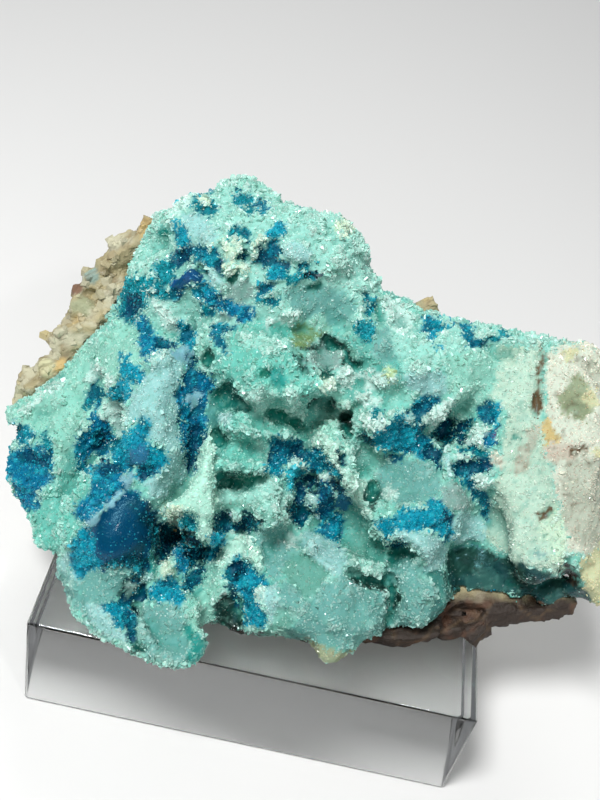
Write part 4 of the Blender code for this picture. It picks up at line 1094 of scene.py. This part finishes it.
def ground_paint(points):
    """The pale growth that lies under and between the coloured ones."""
    paint = np.tile(SWATCHES["mint"], (len(points), 1))
    broad, fine = clouds(points, 7.0, 3, 4.0), clouds(points, 2.2, 3, 14.0)
    paint = mixed(paint, "pale", ramp(broad, 0.0, 0.5))
    paint = mixed(paint, "sea", 0.6 * ramp(-broad, 0.15, 0.6))
    paint = mixed(paint, "leaf", 0.6 * ramp(fine, 0.1, 0.6))
    return mixed(paint, "aqua", 0.6 * ramp(-fine, 0.1, 0.6))


def growth_paint(points, normals, grit=0.0):
    """The paint of each point. Grit, in pixels, scatters single crystals across the edges."""
    ground = ground_paint(points)
    rear = mixed(ground, "blue teal", ramp(clouds(points, 5.0, 4, 71.0), 0.32, 0.44))
    paint = ground.copy()
    pixels = warped(points, EDGE_WARP)
    fray = FRAY_PIXELS * clouds(points, 1.3, 3, 80.0)
    fray = fray + SPECK_PIXELS * clouds(points, 0.55, 2, 33.0) + grit
    for _, colour, _, outline in GROWTHS:
        near, depth = depth_inside(pixels, outline, PAINT_REACH)
        if len(near):
            softness = EDGE_SOFTNESS + SOFTNESS_BY_DEPTH * max(depth.max(), 0.0)
            cover = ramp(depth + fray[near], -softness, softness)
            paint[near] = mixed(paint[near], colour, cover)
    return rear + (paint - rear) * facing(normals, -0.5, 0.0)[:, None]


crust_paint = growth_paint(read_points(crust.data), read_normals(crust.data))
print("mean crust colour", crust_paint.mean(axis=0).round(2))

# %% [markdown]
# ## The grain of the crust
#
# Sugary growth is a heap of rounded granules, each a millimetre or two wide, with smaller ones
# on it. Cell noise gives exactly that: high in the middle of each cell and low on the seams.
# Blue growth is knobblier still. Glassy growth stays calm and only swells a little.

# %% Granules
GRANULE_SIZE, GRANULE_HEIGHT = 1.9, 0.55
BEAD_SIZE, BEAD_HEIGHT = 0.9, 0.34
BLUE_KNOB_SIZE, BLUE_KNOB_HEIGHT = 2.3, 0.55
SKIN_GAP = 0.12


def grow_grain(piece, paint):
    points, normals = read_points(piece.data), read_normals(piece.data)
    sugar = paint[:, 3]
    blueness = blue_share(paint) * ramp(sugar, 0.1, 0.4)
    granules = cells(points, GRANULE_SIZE, 5.0) - 0.35
    beads = cells(points, BEAD_SIZE, 9.0) - 0.35
    blue_knobs = cells(points, BLUE_KNOB_SIZE, 41.0) - 0.35
    swell = clouds(points, 3.4, 3, 2.0)
    height = sugar * (GRANULE_HEIGHT * granules + BEAD_HEIGHT * beads + 0.20 * swell)
    height += (1.0 - sugar) * (0.10 * swell + 0.12 * (cells(points, 2.4, 1.0) - 0.4))
    height += blueness * (BLUE_KNOB_HEIGHT * blue_knobs + 0.30 * beads)
    rear = ramp(-normals[:, 2], 0.5, 0.9)
    points += normals * (height * (1.0 - 0.6 * rear))[:, None]
    write_points(piece.data, rest_on_block(points, SKIN_GAP))


grow_grain(crust, crust_paint)
crust_knob = crest(crust.data, 6)
crust_swell = crest(crust.data, 120)
print("grain added to", len(crust_knob), "points")

# %% [markdown]
# ## Painted highlights on the crests and painted shade in the hollows
#
# Light wanders inside this mineral. It comes out again on thin crests, which look white, and is
# lost in the hollows, which look deep green or navy. That light and shade is painted into the
# colour here: crests get a painted white highlight, cyan on blue growth, and hollows get painted
# shade, sea green and emerald on pale growth and navy on blue. How far a point stands above the
# skin around it decides which of the two it gets. Blue growth also drifts between teal and navy,
# and chalky or ochre growth turns browner in its pits.


# %% Crests and hollows
def light_and_shade_painted(paint, points, knob, swell):
    sugar = paint[:, 3]
    grainy = ramp(sugar, 0.08, 0.3)
    blueness = blue_share(paint) * grainy
    earthy = earthy_share(paint)
    pale = (grainy - blueness) * (1.0 - earthy)
    drift = clouds(points, 1.7, 3, 61.0)
    mottle = clouds(points, 0.7, 2, 91.0)
    glass = (1.0 - grainy) * ramp(clouds(points, 3.2, 2, 7.0), -0.1, 0.5)
    paint = mixed(paint, "dark teal", 0.55 * glass)
    # Painted shade: sea green and emerald darken pale growth in its hollows.
    paint = mixed(paint, "sea", pale * 0.45 * ramp(-swell, 0.2, 1.4))
    paint = mixed(paint, "emerald", pale * 0.45 * ramp(-knob, 0.3, 1.6))
    paint = mixed(paint, "sage", pale * 0.45 * ramp(mottle, 0.1, 0.5))
    # Painted highlight: white lightens the sugary crests.
    paint = mixed(paint, "white", pale * sugar * 0.55 * ramp(knob + 0.4 * drift, 0.4, 1.6))
    paint = mixed(paint, "brown", earthy * 0.5 * ramp(mottle - 0.5 * knob, 0.1, 0.9))
    # Painted shade: navy darkens blue growth in its hollows; teal drifts at random, and cyan is a
    # painted highlight on blue crests.
    paint = mixed(paint, "deep", blueness * 0.75 * ramp(-knob - swell + mottle, 0.1, 1.4))
    paint = mixed(paint, "teal", blueness * 0.35 * ramp(drift, 0.1, 0.5))
    paint = mixed(paint, "cyan", blueness * 0.50 * ramp(knob + drift + mottle, 0.6, 1.6))
    paint[:, 3] = sugar
    return paint


crust_paint = light_and_shade_painted(crust_paint, read_points(crust.data), crust_knob, crust_swell)
print("mean colour once weathered", crust_paint.mean(axis=0).round(2))

# %% [markdown]
# ## Paint that the shader can read
#
# The paint goes into the mesh as a colour for each point, and its gloss as a number for each
# point. Both come back in the shader through Attribute nodes. Glassy growth is smooth and
# sugary growth is rough.

# %% Storing the paint
SMOOTH_SKIN = 0.14
ADDED_BY_SUGAR = 0.40


def store(mesh, paint, roughness):
    """Keeps the paint and the roughness of each point, for the shader."""
    colour = mesh.color_attributes.new("paint", "FLOAT_COLOR", "POINT")
    rgba = np.concatenate([paint[:, :3], np.ones((len(paint), 1))], axis=1)
    colour.data.foreach_set("color", rgba.ravel())
    mesh.attributes.new("roughness", "FLOAT", "POINT").data.foreach_set("value", roughness)


store(crust.data, crust_paint, SMOOTH_SKIN + ADDED_BY_SUGAR * ramp(crust_paint[:, 3], 0.1, 0.6))
print("painted", len(crust_paint), "points")

# %% [markdown]
# ## The rock's skin
#
# The rock is broken, not grown. It is made of blocky crystals with flat faces and sharp cracks,
# so its relief comes from cells with flat tops, in two sizes, and a little unevenness. On the
# hidden side, where no corner is listed, the blocks stand out more. The stepped corners
# that show past the crust are turned boxes, melted in by the remesh.

# %% Chipping the rock
ROCK_VOXEL = 0.48
BLOCK_CELL = 4.2
BLOCK_RISE, BLOCK_TOP = 0.9, 0.30
CHIP_CELL = 1.7
CHIP_RISE, CHIP_TOP = 0.4, 0.25
HIDDEN_DEPTHS = (20.0, 26.0)
HIDDEN_RISE, HIDDEN_TOP = 0.8, 0.6
HIDDEN_SWELL = 0.5


def chip_rock(piece):
    points, normals = read_points(piece.data), read_normals(piece.data)
    blocks = cells(points, BLOCK_CELL, 21.0)
    chips = cells(points, CHIP_CELL, 31.0)
    height = BLOCK_RISE * np.minimum(blocks, BLOCK_TOP) + CHIP_RISE * np.minimum(chips, CHIP_TOP)
    height += 0.16 * clouds(points, 2.4, 4, 8.0) - 0.25
    hidden = ramp(-points[:, 2], *HIDDEN_DEPTHS)
    swell = HIDDEN_SWELL * clouds(points, 5.0, 4, 14.0)
    height += hidden * (HIDDEN_RISE * np.minimum(blocks, HIDDEN_TOP) + swell - 0.25)
    points += normals * height[:, None]
    write_points(piece.data, points)


# across, down, out, half sizes, turn
BROKEN_CORNERS = (
    (121, 243, -13.5, 1.7, 0.9, 1.3, 20), (146, 229, -13.0, 0.9, 1.7, 1.4, -25),
    (135, 247, -13.8, 1.7, 1.6, 1.5, 35), (112, 262, -14.0, 1.7, 1.3, 1.4, 40),
    (94, 278, -14.2, 1.3, 1.1, 1.3, 15), (78, 291, -14.4, 0.8, 0.7, 1.0, 50),
    (114, 291, -13.6, 2.1, 1.0, 1.2, 25), (82, 307, -14.2, 1.4, 1.2, 1.4, -10),
    (104, 312, -13.8, 1.8, 1.0, 1.3, 30), (80, 329, -13.6, 2.8, 1.1, 1.6, 12),
    (64, 341, -14.0, 1.6, 1.3, 1.4, -15), (50, 338, -14.2, 0.6, 0.6, 0.8, 40),
    (72, 350, -14.2, 1.9, 0.9, 1.3, 35), (49, 369, -14.2, 1.3, 1.8, 1.5, 10),
    (62, 364, -14.0, 1.0, 1.0, 1.4, 50), (33, 392, -14.4, 1.0, 1.5, 1.4, 20),
    (426, 308, -14.0, 1.5, 1.1, 1.4, 15), (500, 612, -11.4, 2.4, 1.3, 1.6, 5),
    (522, 611, -11.4, 2.2, 1.1, 1.6, -8), (543, 609, -11.4, 2.0, 1.1, 1.5, 10),
    (562, 602, -11.2, 1.8, 1.2, 1.5, -20), (474, 630, -10.8, 1.6, 1.3, 1.5, 40),
    (448, 628, -10.6, 1.8, 1.0, 1.5, 10),
)
rock = face_copy("matrix_rock", "rock_skin")
add_forms(rock, BROKEN_CORNERS, box)
apply_modifier(rock, "REMESH", mode="VOXEL", voxel_size=ROCK_VOXEL)
apply_modifier(rock, "SMOOTH", factor=0.5, iterations=2)
chip_rock(rock)
write_points(rock.data, rest_on_block(read_points(rock.data), SKIN_GAP))
print("rock skin:", triangle_count(rock.data), "triangles")

# %% [markdown]
# ## Painting the rock
#
# The rock is tan with chalk-white, ochre and rust patches, and it darkens to brown along the
# foot. Dark lines follow the cracks between its blocks.

# %% The rock's paint
# swatch, across, down, half width, half height
ROCK_PATCHES = (
    ("quartz", 113, 243, 12, 9), ("ochre", 146, 228, 7, 10), ("tan", 122, 262, 16, 14),
    ("rust", 77, 287, 8, 7), ("grey", 92, 276, 8, 7), ("quartz", 116, 296, 14, 9),
    ("olive grey", 82, 305, 12, 8), ("quartz", 70, 337, 20, 9), ("quartz", 52, 352, 8, 10),
    ("ochre light", 47, 368, 9, 10), ("ochre", 62, 366, 7, 7), ("tan", 85, 330, 16, 7),
    ("olive grey", 26, 396, 9, 8), ("tan", 430, 312, 14, 10), ("ochre light", 592, 575, 14, 26),
)
ROCK_ROUGHNESS = 0.55
DARK_FOOT_FROM = 588
DARK_FOOT_FULL = DARK_FOOT_FROM + 16.0


def rock_paint(points, normals):
    paint = np.tile(SWATCHES["tan"], (len(points), 1))
    tone = clouds(points, 4.0, 3, 12.0)
    stain = clouds(points, 6.0, 3, 52.0)
    paint = mixed(paint, "quartz", 0.8 * ramp(tone, -0.1, 0.4))
    paint = mixed(paint, "olive grey", 0.4 * ramp(-tone, 0.1, 0.6))
    paint = mixed(paint, "ochre", 0.5 * ramp(stain, 0.15, 0.6))
    paint = mixed(paint, "brown", 0.4 * ramp(-stain, 0.2, 0.7))
    pixels = warped(points, 4.0)
    front = facing(normals, -0.5, 0.0)
    for colour, across, down, half_width, half_height in ROCK_PATCHES:
        reach = np.hypot((pixels[:, 0] - across) / half_width, (pixels[:, 1] - down) / half_height)
        paint = mixed(paint, colour, 0.9 * front * ramp(-reach, -1.2, -0.8))
    # Darker towards the bottom: the foot is painted umber, with some rust.
    foot = ramp(pixels[:, 1], DARK_FOOT_FROM, DARK_FOOT_FULL) * facing(normals, -0.95, -0.5)
    paint = mixed(paint, "umber", foot)
    paint = mixed(paint, "rust", 0.4 * foot * ramp(tone, 0.1, 0.4))
    cracks = 1.0 - ramp(cells(points, BLOCK_CELL, 21.0), 0.0, 0.10)
    return mixed(paint, "brown", 0.45 * cracks)


rock_colour = rock_paint(read_points(rock.data), read_normals(rock.data))
store(rock.data, rock_colour, np.full(len(rock_colour), ROCK_ROUGHNESS))
print("mean rock colour", rock_colour.mean(axis=0).round(2))

# %% [markdown]
# ## Small crystals
#
# Up close the crust is a carpet of crystals, from a quarter of a millimetre to a millimetre
# long. Each is a closed little solid with flat faces, because flat faces are what make a druse
# sparkle. A point is two pyramids base to base, and a blade is a slab with a ridged tip. They
# are written straight into a few large meshes, which keeps the number of pieces small.

# %% Crystal shapes
CRYSTAL_GAP = 0.05
POINT = (
    np.array([(1, 0, 0), (0, 1, 0), (-1, 0, 0), (0, -1, 0), (0, 0, 1), (0, 0, -1)], float),
    np.array([(0, 1, 4), (1, 2, 4), (2, 3, 4), (3, 0, 4), (1, 0, 5), (2, 1, 5), (3, 2, 5),
              (0, 3, 5)]),
)
BLADE = (
    np.array([(1, 1, -1), (-1, 1, -1), (-1, -1, -1), (1, -1, -1),
              (1, 1, 0.35), (-1, 1, 0.35), (-1, -1, 0.35), (1, -1, 0.35),
              (0, 0.4, 1), (0, -0.4, 1)], float),
    np.array([(0, 4, 7), (0, 7, 3), (1, 2, 6), (1, 6, 5), (0, 1, 5), (0, 5, 4), (2, 3, 7),
              (2, 7, 6), (4, 8, 9), (4, 9, 7), (5, 6, 9), (5, 9, 8), (4, 5, 8), (6, 7, 9),
              (0, 2, 1), (0, 3, 2)]),
)


def surface_samples(piece, count, weight, rng):
    """Points spread over a piece by area times weight, with their corners and shares."""
    mesh = piece.data
    mesh.calc_loop_triangles()
    corners = np.empty(len(mesh.loop_triangles) * 3, dtype=np.int64)
    mesh.loop_triangles.foreach_get("vertices", corners)
    corners = corners.reshape(-1, 3)
    points = read_points(mesh)
    first, second, third = (points[corners[:, side]] for side in range(3))
    area = np.linalg.norm(np.cross(second - first, third - first), axis=1) / 2
    chance = area * weight[corners].mean(axis=1)
    chosen = rng.choice(len(area), size=count, p=chance / chance.sum())
    share = rng.random((count, 2))
    flip = share.sum(axis=1) > 1.0
    share[flip] = 1.0 - share[flip]
    return corners[chosen], np.column_stack([1.0 - share.sum(axis=1), share])


def blend(values, corners, shares):
    """A value of the piece's points, at the samples."""
    return np.einsum("nk,nk...->n...", shares, values[corners])


def crystal_mesh(name, shape, places, normals, sizes, tilt, rng):
    """One mesh of many crystals. Sizes are half thickness, half width and half length."""
    corners, faces = shape
    count = len(places)
    up = normals + tilt * rng.normal(size=(count, 3))
    up /= np.linalg.norm(up, axis=1, keepdims=True)
    side = np.cross(up, rng.normal(size=(count, 3)))
    side /= np.linalg.norm(side, axis=1, keepdims=True)
    front = np.cross(up, side)
    scaled = corners[None, :, :] * sizes[:, None, :]
    axes = np.stack([side, front, up], axis=1)
    points = np.einsum("nki,nij->nkj", scaled, axes) + places[:, None, :]
    all_faces = faces[None, :, :] + (np.arange(count) * len(corners))[:, None, None]
    mesh = bpy.data.meshes.new(name)
    mesh.from_pydata(rest_on_block(points.reshape(-1, 3), CRYSTAL_GAP).tolist(), [],
                     all_faces.reshape(-1, 3).tolist())
    return new_piece(name, mesh)


print("a point has", len(POINT[1]), "faces and a blade", len(BLADE[1]))

# %% [markdown]
# ## Growing the druse
#
# The layers share one recipe. Sugar lies thickest on pale crests and leaves the glassy parts
# almost bare, larger grains stand on the knobs, flat blades fan out of the pale masses, and
# small blue grains make the velvet of the blue. Each crystal takes the paint of its place, a
# little lighter or darker, and most are frosted: about one in fourteen glints. The sugar is sown
# twice over the whole crust, as two meshes, so that neither is too heavy to handle.

# %% Layers of crystals
# name, shape, count, half thickness, half width, half length, tilt, where it grows
LAYERS = (
    ("sugar_left", POINT, 22500, (0.12, 0.20), (0.12, 0.24), (0.12, 0.24), 0.5, "sugar"),
    ("sugar_right", POINT, 22500, (0.12, 0.20), (0.12, 0.24), (0.12, 0.24), 0.5, "sugar"),
    ("large_grains", POINT, 6000, (0.18, 0.28), (0.20, 0.32), (0.22, 0.38), 0.6, "crest"),
    ("flat_blades", BLADE, 5000, (0.08, 0.13), (0.18, 0.38), (0.28, 0.58), 0.6, "mass"),
    ("blue_grains", POINT, 16000, (0.10, 0.18), (0.10, 0.19), (0.14, 0.32), 0.7, "blue"),
)
GLINT_SHARE = 0.07
GLINT_ROUGHNESS = 0.10
FROSTED_ROUGHNESS = (0.25, 0.5)
ROOT_DEPTH = 0.05
SHADE_SPREAD = 0.12
EDGE_GRIT = 2.2
KNOB_SPREAD = 0.35


def layer_weight(place):
    sugar = crust_paint[:, 3]
    blueness = blue_share(crust_paint)
    raised = 0.30 + 0.70 * ramp(crust_knob, -0.8, 0.8)
    outer = 1.0 - ramp(-read_normals(crust.data)[:, 2], 0.55, 0.8)
    weights = {
        "sugar": (0.02 + 0.98 * ramp(sugar, 0.0, 0.7)) * raised,
        "crest": sugar ** 2 * (1.0 - blueness) * ramp(crust_knob, 0.0, 1.2),
        "mass": ramp(sugar, 0.55, 0.9) * (1.0 - blueness) * ramp(crust_swell, -0.2, 1.0),
        "blue": (0.06 + ramp(sugar, 0.0, 0.5)) * blueness * raised,
    }
    return outer * (0.0005 + weights[place])


def grow_layer(name, shape, count, thickness, width, length, tilt, place, seed):
    rng = np.random.default_rng(seed)
    corners, shares = surface_samples(crust, count, layer_weight(place), rng)
    sizes = np.stack([rng.uniform(*size, count) for size in (thickness, width, length)], axis=1)
    outward = blend(read_normals(crust.data), corners, shares)
    places = blend(read_points(crust.data), corners, shares) - ROOT_DEPTH * outward
    piece = crystal_mesh(name, shape, places, outward, sizes, tilt, rng)
    knob = blend(crust_knob, corners, shares) + rng.normal(0.0, KNOB_SPREAD, count)
    base = growth_paint(places, outward, rng.normal(0.0, EDGE_GRIT, count))
    # The crystals carry the painted crest highlights and painted hollow shade of their place.
    base = light_and_shade_painted(base, places, knob, blend(crust_swell, corners, shares))
    blueness = blue_share(base)
    pale = 1.0 - np.maximum(blueness, earthy_share(base))
    base = mixed(base, "white", pale * base[:, 3] * rng.uniform(-0.1, 0.45, count))
    base = mixed(base, "sea", pale * rng.uniform(-0.3, 0.25, count))
    base = mixed(base, "cyan", blueness * rng.uniform(-0.5, 0.6, count))
    base = mixed(base, "deep", blueness * rng.uniform(-0.6, 0.6, count))
    base = base * rng.normal(1.0, SHADE_SPREAD, count).clip(0.7, 1.3)[:, None]
    glints = rng.random(count) < GLINT_SHARE
    roughness = np.where(glints, GLINT_ROUGHNESS, rng.uniform(*FROSTED_ROUGHNESS, count))
    each = len(shape[0])
    store(piece.data, np.repeat(base, each, axis=0).clip(0.0, 0.9), np.repeat(roughness, each))
    print(name, triangle_count(piece.data), "triangles")
    return piece


layers = [grow_layer(*layer, seed) for seed, layer in enumerate(LAYERS)]

# %% [markdown]
# ## Crystals on the rock
#
# The bare rock at the upper left is quartz: stout blocky crystals, tan and white, broken at all
# angles. The same blade shape serves, only as thick as it is wide. They sit half sunk in the
# rock, most of them small and a few large. The rest of the rock has a sparse sprinkling.

# %% Quartz chips
CHIP_COUNT = 700
CHIP_SIZE = 0.36
CHIP_LIMITS = (0.18, 1.0)
BARE_ROCK_RIGHT = 165
BARE_ROCK_FOOT = 410
SPARSE_SHARE = 0.10


def bare_rock_weight(points, normals):
    pixels = seen_at(points)
    left = (pixels[:, 0] < BARE_ROCK_RIGHT) & (pixels[:, 1] < BARE_ROCK_FOOT)
    darker_foot = ramp(pixels[:, 1], DARK_FOOT_FROM, DARK_FOOT_FULL)
    return SPARSE_SHARE * (1.0 - darker_foot) + left * facing(normals, -0.4, 0.1)


rng = np.random.default_rng(11)
rock_points, rock_normals = read_points(rock.data), read_normals(rock.data)
corners, shares = surface_samples(
    rock, CHIP_COUNT, bare_rock_weight(rock_points, rock_normals), rng)
chip_size = rng.lognormal(0.0, 0.45, (CHIP_COUNT, 1)) * rng.uniform(0.75, 1.25, (CHIP_COUNT, 3))
chip_size = np.clip(CHIP_SIZE * chip_size, *CHIP_LIMITS)
chip_up = blend(rock_normals, corners, shares)
chip_places = blend(rock_points, corners, shares) - 0.4 * chip_size[:, 2:] * chip_up
chips = crystal_mesh("quartz_chips", BLADE, chip_places, chip_up, chip_size, 0.5, rng)
chip_paint = blend(rock_colour, corners, shares)
chip_paint = mixed(chip_paint, "quartz", rng.uniform(-0.2, 0.5, CHIP_COUNT))
chip_paint = chip_paint * rng.normal(1.0, 0.10, CHIP_COUNT).clip(0.75, 1.25)[:, None]
each = len(BLADE[0])
store(chips.data, np.repeat(chip_paint, each, axis=0).clip(0.0, 0.9),
      np.repeat(rng.uniform(0.15, 0.6, CHIP_COUNT), each))
print("quartz chips:", triangle_count(chips.data), "triangles")

# %% [markdown]
# ## Writing shaders as sums
#
# A shader graph reads best as arithmetic. This class wraps one socket, and an expression such as
# `1 - mask * 0.5` adds the Math nodes for it.


# %% A socket that does arithmetic
class Term:
    def __init__(self, finish, socket):
        self.finish = finish
        self.socket = socket

    def math(self, operation, other, swapped=False):
        pair = (other, self) if swapped else (self, other)
        return self.finish.node(
            "ShaderNodeMath", {"operation": operation}, {0: pair[0], 1: pair[1]})

    def __add__(self, other):
        return self.math("ADD", other)

    def __sub__(self, other):
        return self.math("SUBTRACT", other)

    def __rsub__(self, other):
        return self.math("SUBTRACT", other, swapped=True)

    def __mul__(self, other):
        return self.math("MULTIPLY", other)

    __radd__ = __add__
    __rmul__ = __mul__


class Finish:
    """A material, its Principled BSDF and one way to add any node."""

    def __init__(self, name, **uniform):
        self.material = bpy.data.materials.new(name)
        self.material.use_nodes = True
        self.tree = self.material.node_tree
        self.shader = self.tree.nodes["Principled BSDF"]
        for socket, value in uniform.items():
            self.shader.inputs[socket.replace("_", " ")].default_value = value

    def node(self, kind, settings=None, inputs=None, output=0):
        made = self.tree.nodes.new(kind)
        for setting, value in (settings or {}).items():
            setattr(made, setting, value)
        for socket, value in (inputs or {}).items():
            self.feed(made.inputs[socket], value)
        return Term(self, made.outputs[output])

    def feed(self, socket, value):
        if isinstance(value, Term):
            self.tree.links.new(value.socket, socket)
        else:
            socket.default_value = value

    def mix(self, factor, first, second):
        return self.node(
            "ShaderNodeMix", {"data_type": "RGBA"}, {0: factor, 6: first, 7: second}, output=2)

    def noise(self, size_mm, detail=3.0, roughness=0.6):
        place = self.node("ShaderNodeTexCoord", output="Object")
        return self.node(
            "ShaderNodeTexNoise", {},
            {"Vector": place, "Scale": 1.0 / (size_mm * MM), "Detail": detail,
             "Roughness": roughness}, output="Fac")

    def attribute(self, name, output="Fac"):
        return self.node("ShaderNodeAttribute", {"attribute_name": name}, {}, output=output)

    def use(self, socket, value):
        self.feed(self.shader.inputs[socket], value)


print("shader helpers ready")

# %% [markdown]
# ## The crust's finish
#
# Hemimorphite is a glassy mineral with a refractive index of about 1.62, and a druse of it is
# translucent. Light that enters comes out a fraction of a millimetre away, which is what softens
# the frosted parts, so both the skin and the crystals scatter light under their surface. Deep
# blue growth looks wet, and a thin coat on the smoothest parts gives it that. White reflections
# would turn the blue to grey, so those of the skin and of the blue crystals are tinted cyan.

# %% Skin and crystal finishes
HEMIMORPHITE_IOR = 1.62
SCATTER_RADIUS = (0.5, 1.0, 0.9)
CYAN_SHEEN = (0.35, 0.85, 1.0, 1.0)
GROOVE_TINT = (0.50, 0.70, 0.72, 1.0)

skin = Finish("aqua skin", IOR=HEMIMORPHITE_IOR, Specular_IOR_Level=0.25, Subsurface_Weight=0.25,
              Subsurface_Scale=0.0004, Subsurface_Radius=SCATTER_RADIUS, Coat_Roughness=0.06,
              Specular_Tint=CYAN_SHEEN)
colour = skin.attribute("paint", "Color")
rough = skin.attribute("roughness")
fine = skin.noise(0.30, 4.0)
darker = skin.node("ShaderNodeMix", {"data_type": "RGBA", "blend_type": "MULTIPLY"},
                   {0: 1.0, 6: colour, 7: GROOVE_TINT}, output=2)
skin.use("Base Color", skin.mix(fine * 0.6, colour, darker))
skin.use("Roughness", rough + fine * 0.12)
skin.use("Coat Weight", 0.10 - rough * 0.25)
skin.use("Normal", skin.node(
    "ShaderNodeBump", {}, {"Strength": 0.4, "Distance": 0.0002, "Height": fine},
    output="Normal"))


def crystal_finish(name, sheen):
    crystal = Finish(name, IOR=HEMIMORPHITE_IOR, Specular_IOR_Level=0.5, Subsurface_Weight=0.25,
                     Subsurface_Scale=0.0003, Subsurface_Radius=SCATTER_RADIUS,
                     Specular_Tint=sheen)
    crystal.use("Base Color", crystal.attribute("paint", "Color"))
    crystal.use("Roughness", crystal.attribute("roughness"))
    return crystal.material


pale_crystals = crystal_finish("aqua crystals", (1.0, 1.0, 1.0, 1.0))
blue_crystals = crystal_finish("blue crystals", CYAN_SHEEN)
print("finishes:", skin.material.name, pale_crystals.name, blue_crystals.name)

# %% [markdown]
# ## The rock's finish
#
# Broken rock is dull, and only its crystals have glassy faces. Fine noise roughens it and
# sprinkles it with dark grit.

# %% Rock finish
GRIT_COLOUR = (0.14, 0.10, 0.06, 1.0)

stone = Finish("tan rock", IOR=1.54)
colour = stone.attribute("paint", "Color")
grit = stone.noise(0.5, 5.0, 0.7)
dirt = stone.node("ShaderNodeMapRange", {}, {"Value": grit, "From Min": 0.60, "From Max": 0.80})
stone.use("Base Color", stone.mix(dirt * 0.5, colour, GRIT_COLOUR))
stone.use("Roughness", stone.attribute("roughness") + grit * 0.15)
stone.use("Normal", stone.node(
    "ShaderNodeBump", {}, {"Strength": 0.6, "Distance": 0.0004, "Height": grit},
    output="Normal"))
print("finish:", stone.material.name)

# %% [markdown]
# ## The clear block
#
# Acrylic is see-through with a refractive index of 1.49. The block is a plain cut and polished
# slab, so its looks come from clean flat faces, a fine bevel on each edge that catches light,
# and a trace of haze.

# %% Block and finish
BLOCK_WIDTH = 58.0
BLOCK_DEPTH = 58.0
BLOCK_BEVEL = 0.5
ACRYLIC_IOR = 1.49

acrylic = Finish("clear acrylic", Base_Color=(0.97, 0.985, 0.98, 1.0), Roughness=0.015,
                 IOR=ACRYLIC_IOR, Transmission_Weight=1.0)

bm = bmesh.new()
bmesh.ops.create_cube(bm, size=1.0, matrix=Matrix.Diagonal(
    (BLOCK_WIDTH * MM, BLOCK_DEPTH * MM, BLOCK_HEIGHT * MM, 1.0)))
bmesh.ops.translate(bm, vec=(0.0, 0.0, BLOCK_HEIGHT * MM / 2), verts=bm.verts)
bmesh.ops.bevel(bm, geom=bm.edges[:], offset=BLOCK_BEVEL * MM, segments=4, profile=0.5,
                affect="EDGES")
block_mesh = bpy.data.meshes.new("clear_block")
bm.to_mesh(block_mesh)
bm.free()
block_mesh.shade_smooth()
block_mesh.set_sharp_from_angle(angle=math.radians(30.0))
block = new_piece("clear_block", block_mesh)
block.data.materials.append(acrylic.material)
print("block", tuple(round(size / MM, 1) for size in block.dimensions), "mm")

# %% [markdown]
# ## Putting the pieces in the frame
#
# Each piece goes from the face frame to metres, gets its finish, and rides with the one body.

# %% Placing
crust.data.materials.append(skin.material)
rock.data.materials.append(stone.material)
chips.data.materials.append(stone.material)
for layer in layers:
    layer.data.materials.append(blue_crystals if "blue" in layer.name else pale_crystals)

for piece in [crust, rock, chips, *layers]:
    piece.data.transform(face_to_world)
crust.data.shade_smooth()

for piece in [crust, rock, chips, block, *layers]:
    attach(piece, "root")
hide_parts("hemimorphite_crust")
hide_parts("matrix_rock")
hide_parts("clear_block_stand")
print("placed", 4 + len(layers), "pieces")

# %% [markdown]
# ## The floor
#
# A plain pale sheet runs past the picture on all sides. It lies a tenth of a millimetre under
# the block, so that the two faces never share a plane.

# %% Floor
FLOOR_SIZE = 6.0
FLOOR_GAP = 0.0001

floor_bm = bmesh.new()
bmesh.ops.create_grid(floor_bm, x_segments=1, y_segments=1, size=FLOOR_SIZE / 2)
floor_mesh = bpy.data.meshes.new("floor")
floor_bm.to_mesh(floor_mesh)
floor_bm.free()
floor = new_piece("floor", floor_mesh)
floor.location.z = -FLOOR_GAP
paper = Finish("pale paper", Base_Color=(0.72, 0.72, 0.71, 1.0), Roughness=0.9)
floor.data.materials.append(paper.material)
print("floor", FLOOR_SIZE, "m wide")

# %% [markdown]
# ## The lights
#
# The key light stands high to the left, and a small one on the right makes the crystals glint.
# The block's front face mirrors what is behind it, so a large light stands there. The fill in
# front lifts the shadows, but is kept out of reflections, where it would grey the blue. A faint
# pale sky does the rest.

# %% Lights
# name, place in metres, width in metres, watts
LIGHTS = (
    ("key", (-0.11, -0.14, 0.40), 0.12, 1.9),
    ("glint", (0.16, -0.25, 0.36), 0.03, 0.25),
    ("back", (0.0, 0.45, 0.48), 0.40, 1.2),
    ("fill", (0.05, -0.42, 0.30), 0.25, 0.45),
)
LIT_PLACE = (0.0, 0.0, 0.03)
SKY_COLOUR = (0.93, 0.96, 1.0, 1.0)
SKY_STRENGTH = 0.15


def studio_light(name, place, size, power):
    data = bpy.data.lights.new(name, "AREA")
    data.shape = "DISK"
    data.size = size
    data.energy = power
    lamp = bpy.data.objects.new(name, data)
    lamp.location = place
    aim = Vector(LIT_PLACE) - Vector(place)
    lamp.rotation_mode = "QUATERNION"
    lamp.rotation_quaternion = aim.to_track_quat("-Z", "Y")
    bpy.context.scene.collection.objects.link(lamp)
    return lamp


for light in LIGHTS:
    lamp = studio_light(*light)
    lamp.visible_glossy = lamp.name != "fill"

world = bpy.data.worlds.new("studio")
world.use_nodes = True
sky = world.node_tree.nodes["Background"]
sky.inputs["Color"].default_value = SKY_COLOUR
sky.inputs["Strength"].default_value = SKY_STRENGTH
bpy.context.scene.world = world
bpy.context.scene.view_settings.view_transform = "Standard"
print(len(LIGHTS), "lights")
